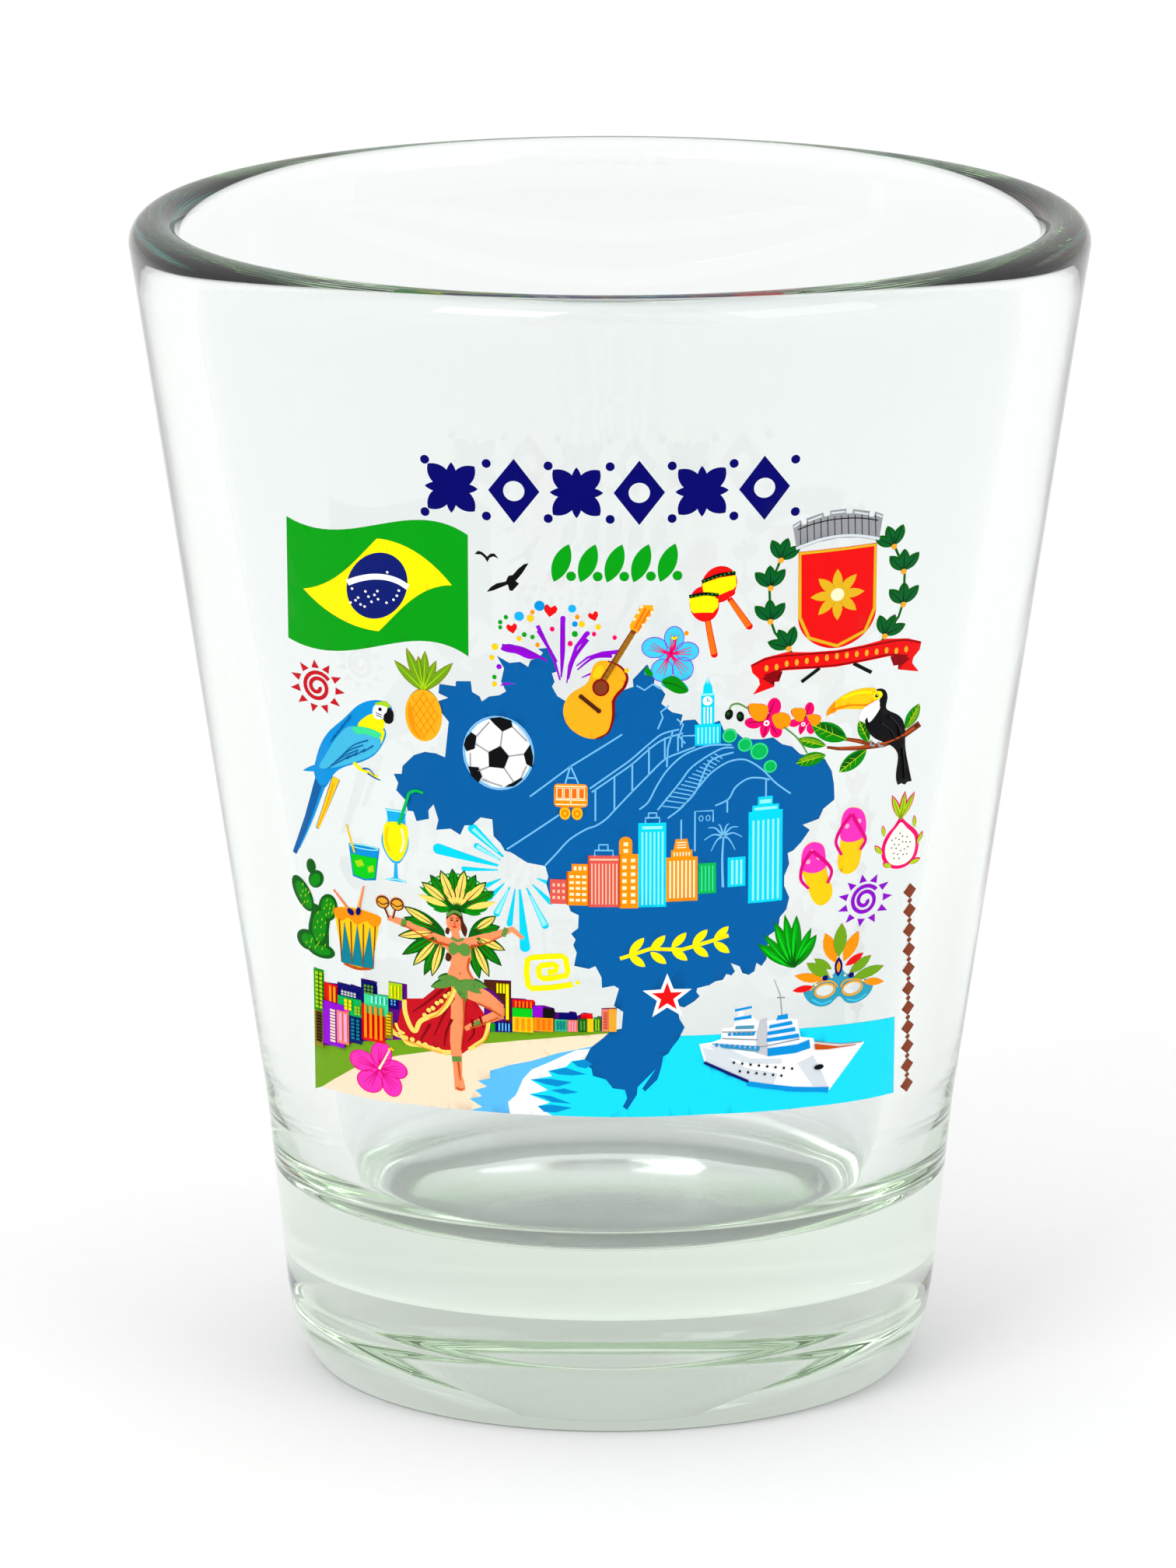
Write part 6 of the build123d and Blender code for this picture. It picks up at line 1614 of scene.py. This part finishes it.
def dancer_figure_print():
    hair = [soft((-8.15, 27.55), (-8.05, 27.95), (-7.7, 28.1), (-7.38, 27.95), (-7.28, 27.5),
        (-7.1, 27.1), (-7.2, 26.7),
                 (-7.4, 27.05), (-7.45, 27.6), (-7.75, 27.85), (-8.02, 27.7))]
    curls = [soft((-8.12, 27.1), (-8.2, 26.85), (-8.05, 26.75), (-7.98, 27.0)),
        soft((-8.12, 25.75), (-8.2, 25.4), (-8.0, 25.3), (-7.9, 25.6))]
    band = [curve([(-8.12, 27.78), (-7.72, 28.02), (-7.36, 27.85)], 0.15)]
    brows = [curve([(-7.98, 27.62), (-7.88, 27.67), (-7.79, 27.64)], 0.03),
        curve([(-7.68, 27.64), (-7.59, 27.67), (-7.5, 27.62)], 0.03)]
    eyes = [oval(-7.88, 27.53, 0.055, 0.03, sides=10), oval(-7.6, 27.53, 0.055, 0.03, sides=10)]
    nose = [curve([(-7.74, 27.5), (-7.72, 27.35), (-7.76, 27.32)], 0.022)]
    mouth = [leaf((-7.86, 27.19), (-7.62, 27.19), 0.06)]
    cheeks = [dot(-7.95, 27.32, 0.055), dot(-7.55, 27.32, 0.055)]
    top = [soft((-8.02, 26.2), (-7.8, 26.35), (-7.55, 26.2), (-7.3, 26.35), (-6.98, 26.2),
        (-7.02, 25.78), (-7.3, 25.68), (-7.55, 25.85), (-7.8, 25.68), (-8.0, 25.8))]
    collar = [curve([(-7.9, 26.6), (-7.6, 26.45), (-7.3, 26.6)], 0.12)]
    hip = [soft((-8.15, 24.45), (-7.55, 24.3), (-6.85, 24.42), (-6.75, 24.1), (-7.1, 23.85),
        (-7.5, 23.55), (-7.75, 23.9), (-8.1, 24.15))]
    cuffs = [curve([(-10.35, 26.85), (-10.25, 27.25)], 0.24), curve([(-5.3, 26.9), (-5.15, 27.35)],
        0.22),
             curve([(-7.9, 20.05), (-7.45, 20.1)], 0.26), curve([(-6.55, 22.25), (-6.75, 21.95)], 0.22)]
    leaves = [leaf((-8.1, 24.35), (-8.5, 23.9), 0.22), leaf((-7.6, 23.9), (-7.3, 23.3), 0.22),
        leaf((-6.85, 24.3), (-6.5, 24.0), 0.2)]
    shade = [curve(p, 0.09, 0.03) for p in (
        [(-7.0, 25.6), (-7.1, 25.0), (-6.85, 24.5)], [(-8.0, 26.15), (-8.9, 26.32), (-9.8, 26.72),
        (-10.4, 26.95)],
        [(-7.0, 26.15), (-6.1, 26.5), (-5.4, 26.88)], [(-7.3, 23.4), (-7.3, 22.0), (-7.45, 20.6)],
        [(-6.6, 23.2), (-5.9, 22.9), (-5.4, 22.6)],
        [(-7.0, 21.8), (-6.2, 22.2), (-5.6, 22.5)], [(-7.6, 19.9), (-7.55, 19.4), (-7.5, 18.95)],
        [(-7.68, 18.52), (-7.5, 18.44), (-7.34, 18.52)])]
    navel = [dot(-7.48, 24.72, 0.035)]
    shells = [oval(-11.35, 28.0, 0.31, sides=18), oval(-10.62, 28.0, 0.31, sides=18)]
    seams = [curve([(x - 0.3, 28.05), (x, 27.9), (x + 0.3, 28.05)], 0.05) for x in (-11.35, -10.62)]
    seams += [ring(oval(x, 28.0, 0.3, sides=18), 0.05) for x in (-11.35, -10.62)]
    sticks = [stroke([(-11.27, 27.7), (-11.05, 27.2)], 0.07), stroke([(-10.7, 27.7), (-10.85, 27.2)],
        0.07)]
    foot = [soft((-7.72, 19.2), (-7.42, 19.2), (-7.28, 18.75), (-7.26, 18.45), (-7.5, 18.36),
        (-7.76, 18.45), (-7.78, 18.8))]
    enamel_print("dancer_figure", "skin", [
        ("skin", foot), ("umber", hair + curls + sticks),
        ("moss", band + top + hip + cuffs + collar + leaves),
        ("coral", cheeks), ("rust", shade + brows + nose + navel), ("black", eyes), ("red", mouth),
        ("gold", shells), ("umber", seams)])


WEST_BLOCKS = (
    ("flag_green", (-14.95, 21.25, -14.42, 23.52)), ("olive", (-14.95, 19.2, -14.5, 21.25)),
    ("red", (-14.42, 21.9, -13.72, 22.9)), ("navy", (-13.72, 22.3, -12.4, 23.1)),
    ("navy", (-12.5, 22.6, -11.68, 23.58)), ("mint", (-12.35, 21.8, -11.12, 22.92)),
    ("tree_green", (-13.72, 21.45, -12.5, 22.42)), ("lime", (-11.1, 22.85, -10.4, 23.72)),
    ("navy", (-11.1, 22.3, -10.62, 22.98)), ("ink_blue", (-13.15, 20.0, -12.5, 21.45)),
    ("pink", (-13.75, 19.85, -13.15, 21.75)), ("purple", (-14.5, 19.55, -13.4, 21.92)),
    ("coral", (-13.78, 19.8, -13.15, 21.6)), ("red", (-12.5, 20.3, -11.3, 22.32)),
    ("olive", (-11.3, 20.62, -10.9, 22.1)),
)
EAST_BLOCKS = (
    ("navy", (-5.72, 21.8, -4.88, 22.3)),
    ("flag_green", (-5.95, 21.75, -5.72, 22.2)), ("red", (-4.86, 23.15, -3.76, 23.58)),
    ("bright_green", (-4.86, 22.6, -3.86, 23.15)), ("amber", (-4.86, 21.88, -3.82, 22.68)),
    ("purple", (-3.86, 22.72, -3.32, 23.3)), ("black", (-3.34, 22.72, -2.76, 23.18)),
    ("orange", (-3.8, 21.98, -2.82, 22.7)), ("mint", (-2.76, 22.0, -2.14, 22.62)),
    ("navy", (-2.55, 22.62, -1.65, 22.98)), ("coral", (-2.12, 22.0, -1.6, 22.62)),
    ("forest", (-1.58, 22.02, -1.14, 22.7)), ("red", (-1.45, 22.7, -0.86, 22.96)),
    ("amber", (-1.14, 22.02, -0.82, 22.7)), ("flag_green", (-0.8, 22.05, -0.45, 22.76)),
    ("coral", (-0.4, 22.05, -0.05, 23.22)), ("gold", (-0.05, 22.05, 0.33, 23.24)),
)


SHORE_ROWS = (  # ink, box, columns, rows, share filled across and up
    ("lime", (-14.9, 21.4, -14.48, 23.45), 2, 9, (0.72, 0.62)),
    ("umber", (-14.9, 19.5, -14.55, 21.2), 1, 10, (0.8, 0.35)),
    ("sand", (-14.12, 19.75, -13.86, 21.6), 1, 11, (1.0, 0.6)),
    ("blush", (-13.72, 19.95, -13.2, 21.5), 2, 1, (0.62, 1.0)),
    ("orange", (-14.2, 22.0, -13.78, 22.82), 2, 1, (0.6, 1.0)),
    ("orange", (-12.42, 20.5, -11.36, 22.25), 4, 1, (0.5, 1.0)),
    ("amber", (-11.28, 20.85, -10.94, 22.0), 1, 7, (0.7, 0.4)),
    ("yellow", (-13.4, 21.75, -12.98, 22.35), 2, 3, (0.7, 0.75)),
    ("lime", (-12.86, 21.6, -12.56, 22.08), 2, 3, (0.7, 0.75)),
    ("teal", (-13.08, 20.2, -12.56, 21.38), 2, 6, (0.6, 0.6)),
    ("pearl", (-13.55, 22.5, -12.75, 22.78), 5, 2, (0.7, 0.5)),
    ("moss", (-12.38, 22.85, -11.85, 23.4), 3, 3, (0.7, 0.6)),
    ("pale_cyan", (-12.05, 22.45, -11.2, 22.85), 4, 1, (0.4, 1.0)),
    ("yellow", (-11.02, 22.95, -10.5, 23.6), 3, 1, (0.4, 1.0)),
    ("surf_blue", (-11.02, 22.5, -10.7, 22.85), 2, 2, (0.5, 0.5)),
    ("yellow", (-5.68, 23.9, -5.2, 24.38), 3, 1, (0.62, 1.0)),
    ("yellow", (-5.22, 22.5, -5.0, 24.38), 1, 1, (0.7, 1.0)),
    ("surf_blue", (-5.6, 21.88, -4.95, 22.28), 4, 1, (0.45, 1.0)),
    ("tangerine", (-4.78, 23.2, -3.84, 23.52), 5, 1, (0.5, 1.0)),
    ("orange", (-4.78, 21.95, -3.9, 22.6), 3, 1, (0.5, 1.0)),
    ("tangerine", (-3.7, 22.05, -2.9, 22.62), 3, 1, (0.5, 1.0)),
    ("teal", (-2.7, 22.08, -2.2, 22.55), 3, 1, (0.5, 1.0)),
    ("blush", (-2.06, 22.06, -1.66, 22.56), 3, 1, (0.4, 1.0)),
    ("moss", (-1.52, 22.1, -1.2, 22.62), 2, 1, (0.5, 1.0)),
    ("lime", (-0.76, 22.1, -0.5, 22.68), 2, 1, (0.5, 1.0)),
    ("rust", (-0.36, 22.15, -0.1, 23.12), 1, 6, (0.7, 0.35)),
    ("olive", (0.0, 22.15, 0.28, 23.14), 1, 6, (0.7, 0.35)),
)


def shore_tower_print():
    brown = poly((-6.26, 24.12), (-6.26, 24.5), (-4.94, 24.5), (-4.94, 22.34), (-5.22, 22.34),
        (-5.24, 23.2), (-5.66, 23.82))
    coats = {"umber": [brown]}
    for ink, box in WEST_BLOCKS + EAST_BLOCKS:
        coats.setdefault(ink, []).append(block(*box))
    rows = [tiles(*row, TOP_COAT) for row in SHORE_ROWS]
    enamel_print("shore_towers", "plum", list(coats.items()), rows)


def shore_prints():
    enamel_print("verge", "lawn")
    enamel_print("beach", "sand")
    enamel_print("surf", "surf_blue")
    enamel_print("foam", "white")
    spikes = [
        poly((-3.6, 17.9), (-2.9, 18.0), (-1.9, 17.88), (-2.7, 17.6), (-3.3, 17.6)),
        poly((-4.0, 18.52), (-3.0, 18.48), (-1.95, 18.1), (-2.9, 18.15), (-3.3, 18.35)),
        poly((-3.95, 19.32), (-3.0, 19.4), (-1.9, 19.25), (-2.6, 19.0), (-3.2, 19.1)),
        poly((-3.05, 19.82), (-2.2, 20.02), (-1.2, 19.7), (-1.9, 19.62), (-2.6, 19.66)),
        poly((-1.9, 20.36), (-1.2, 20.5), (-0.9, 20.25), (-1.2, 20.02), (-1.6, 20.1)),
        poly((-2.95, 18.78), (-2.3, 18.9), (-1.6, 18.72), (-2.3, 18.6))]
    enamel_print("sea", "aqua", [("deep_teal", spikes)])


def ship_print():
    shade = [poly((4.62, 21.0), (4.85, 20.1), (6.9, 18.95), (8.2, 18.6), (8.4, 19.2), (6.8, 19.7),
        (5.4, 20.7)),
             poly((9.4, 19.6), (10.2, 18.2), (11.0, 17.98), (10.6, 19.0), (10.2, 19.9))]
    soft_grey = [poly((5.0, 21.05), (5.3, 20.6), (7.0, 19.9), (8.6, 19.7), (8.6, 19.95), (7.0, 20.2),
        (5.6, 21.0))]
    keel = [stroke([(4.72, 20.18), (6.92, 18.95)], 0.14)]
    water = [stroke([(6.9, 18.84), (9.2, 18.22), (11.0, 17.87)], 0.24)]
    ports = [dot(6.2 + 0.42 * i, 20.05 - 0.1 * i, 0.06) for i in range(8)]
    ports += [dot(6.5 + 0.42 * i, 19.55 - 0.1 * i, 0.06) for i in range(6)]
    hawse = [oval(10.5, 19.2, 0.24, 0.13, 0, 14)]
    house = [poly((7.3, 20.45), (7.9, 20.2), (7.85, 22.25), (7.5, 22.2), (7.35, 21.6))]
    rails = [stroke([(5.1, 21.15), (7.6, 20.75), (9.5, 20.9)], 0.05),
        stroke([(5.6, 21.4), (7.4, 21.15)], 0.05),
             stroke([(5.6, 21.75), (7.3, 21.6)], 0.05),
             stroke([(10.3, 20.62), (11.6, 20.24), (12.7, 20.08)], 0.05)]
    decks = [poly((7.9, 20.2), (9.3, 20.18), (10.05, 20.32), (10.0, 20.78), (9.4, 20.62), (7.9, 20.62)),
        poly((7.85, 20.98), (9.5, 21.0), (9.46, 21.2), (7.85, 21.16)),
             poly((7.88, 21.34), (9.3, 21.38), (9.26, 21.58), (7.9, 21.52)),
             poly((7.95, 21.7), (9.15, 21.76), (9.1, 21.94), (8.0, 21.86)),
             poly((8.32, 22.1), (8.92, 22.1), (8.9, 22.36), (8.4, 22.32)),
             poly((6.18, 22.32), (7.08, 22.36), (7.06, 22.52), (6.2, 22.46)),
             poly((6.24, 22.8), (7.1, 22.9), (7.08, 23.0), (6.22, 22.92))]
    cabins = [poly((6.25, 21.5), (7.2, 21.4), (7.2, 21.55), (6.25, 21.62)),
        poly((6.25, 21.85), (7.2, 21.78), (7.2, 21.95), (6.3, 22.0)),
              poly((5.6, 20.9), (7.4, 20.5), (7.5, 20.62), (5.7, 21.02))]
    lights = [block(5.25 + 0.26 * i, 21.0 - 0.045 * i, 5.4 + 0.26 * i,
        21.16 - 0.045 * i) for i in range(9)]
    lights += [block(5.9 + 0.24 * i, 21.52 - 0.01 * i, 6.05 + 0.24 * i,
        21.66 - 0.01 * i) for i in range(6)]
    wedge = [poly((10.3, 20.5), (11.5, 20.12), (12.4, 20.02), (10.9, 20.1), (10.3, 20.2))]
    mast = [stroke([(8.6, 22.35), (8.52, 23.4), (8.2, 24.3)], 0.06, 0.03),
        stroke([(8.35, 23.3), (8.75, 23.25)], 0.05)]
    enamel_print("cruise_ship", "white", [
        ("pearl", shade + soft_grey), ("ash", house), ("silver", rails + mast), ("slate_blue", cabins),
        ("blue", decks + water + lights),
        ("ink_blue", keel), ("black", ports + hawse), ("rust", wedge)])


def draw_picture():
    flag_prints()
    frieze_prints()
    firework_prints()
    guitar_prints()
    maraca_prints()
    hibiscus_prints()
    crest_prints()
    sun_prints()
    parrot_prints()
    pineapple_print()
    orchid_prints()
    toucan_prints()
    beach_goods_prints()
    drink_prints()
    garden_prints()
    mask_prints()
    football_print()
    cable_car_print()
    map_print()
    tower_prints()
    star_print()
    burst_print()
    dancer_feather_print()
    dancer_skirt_print()
    dancer_figure_print()
    shore_tower_print()
    shore_prints()
    ship_print()


glass_piece()
draw_picture()
studio()
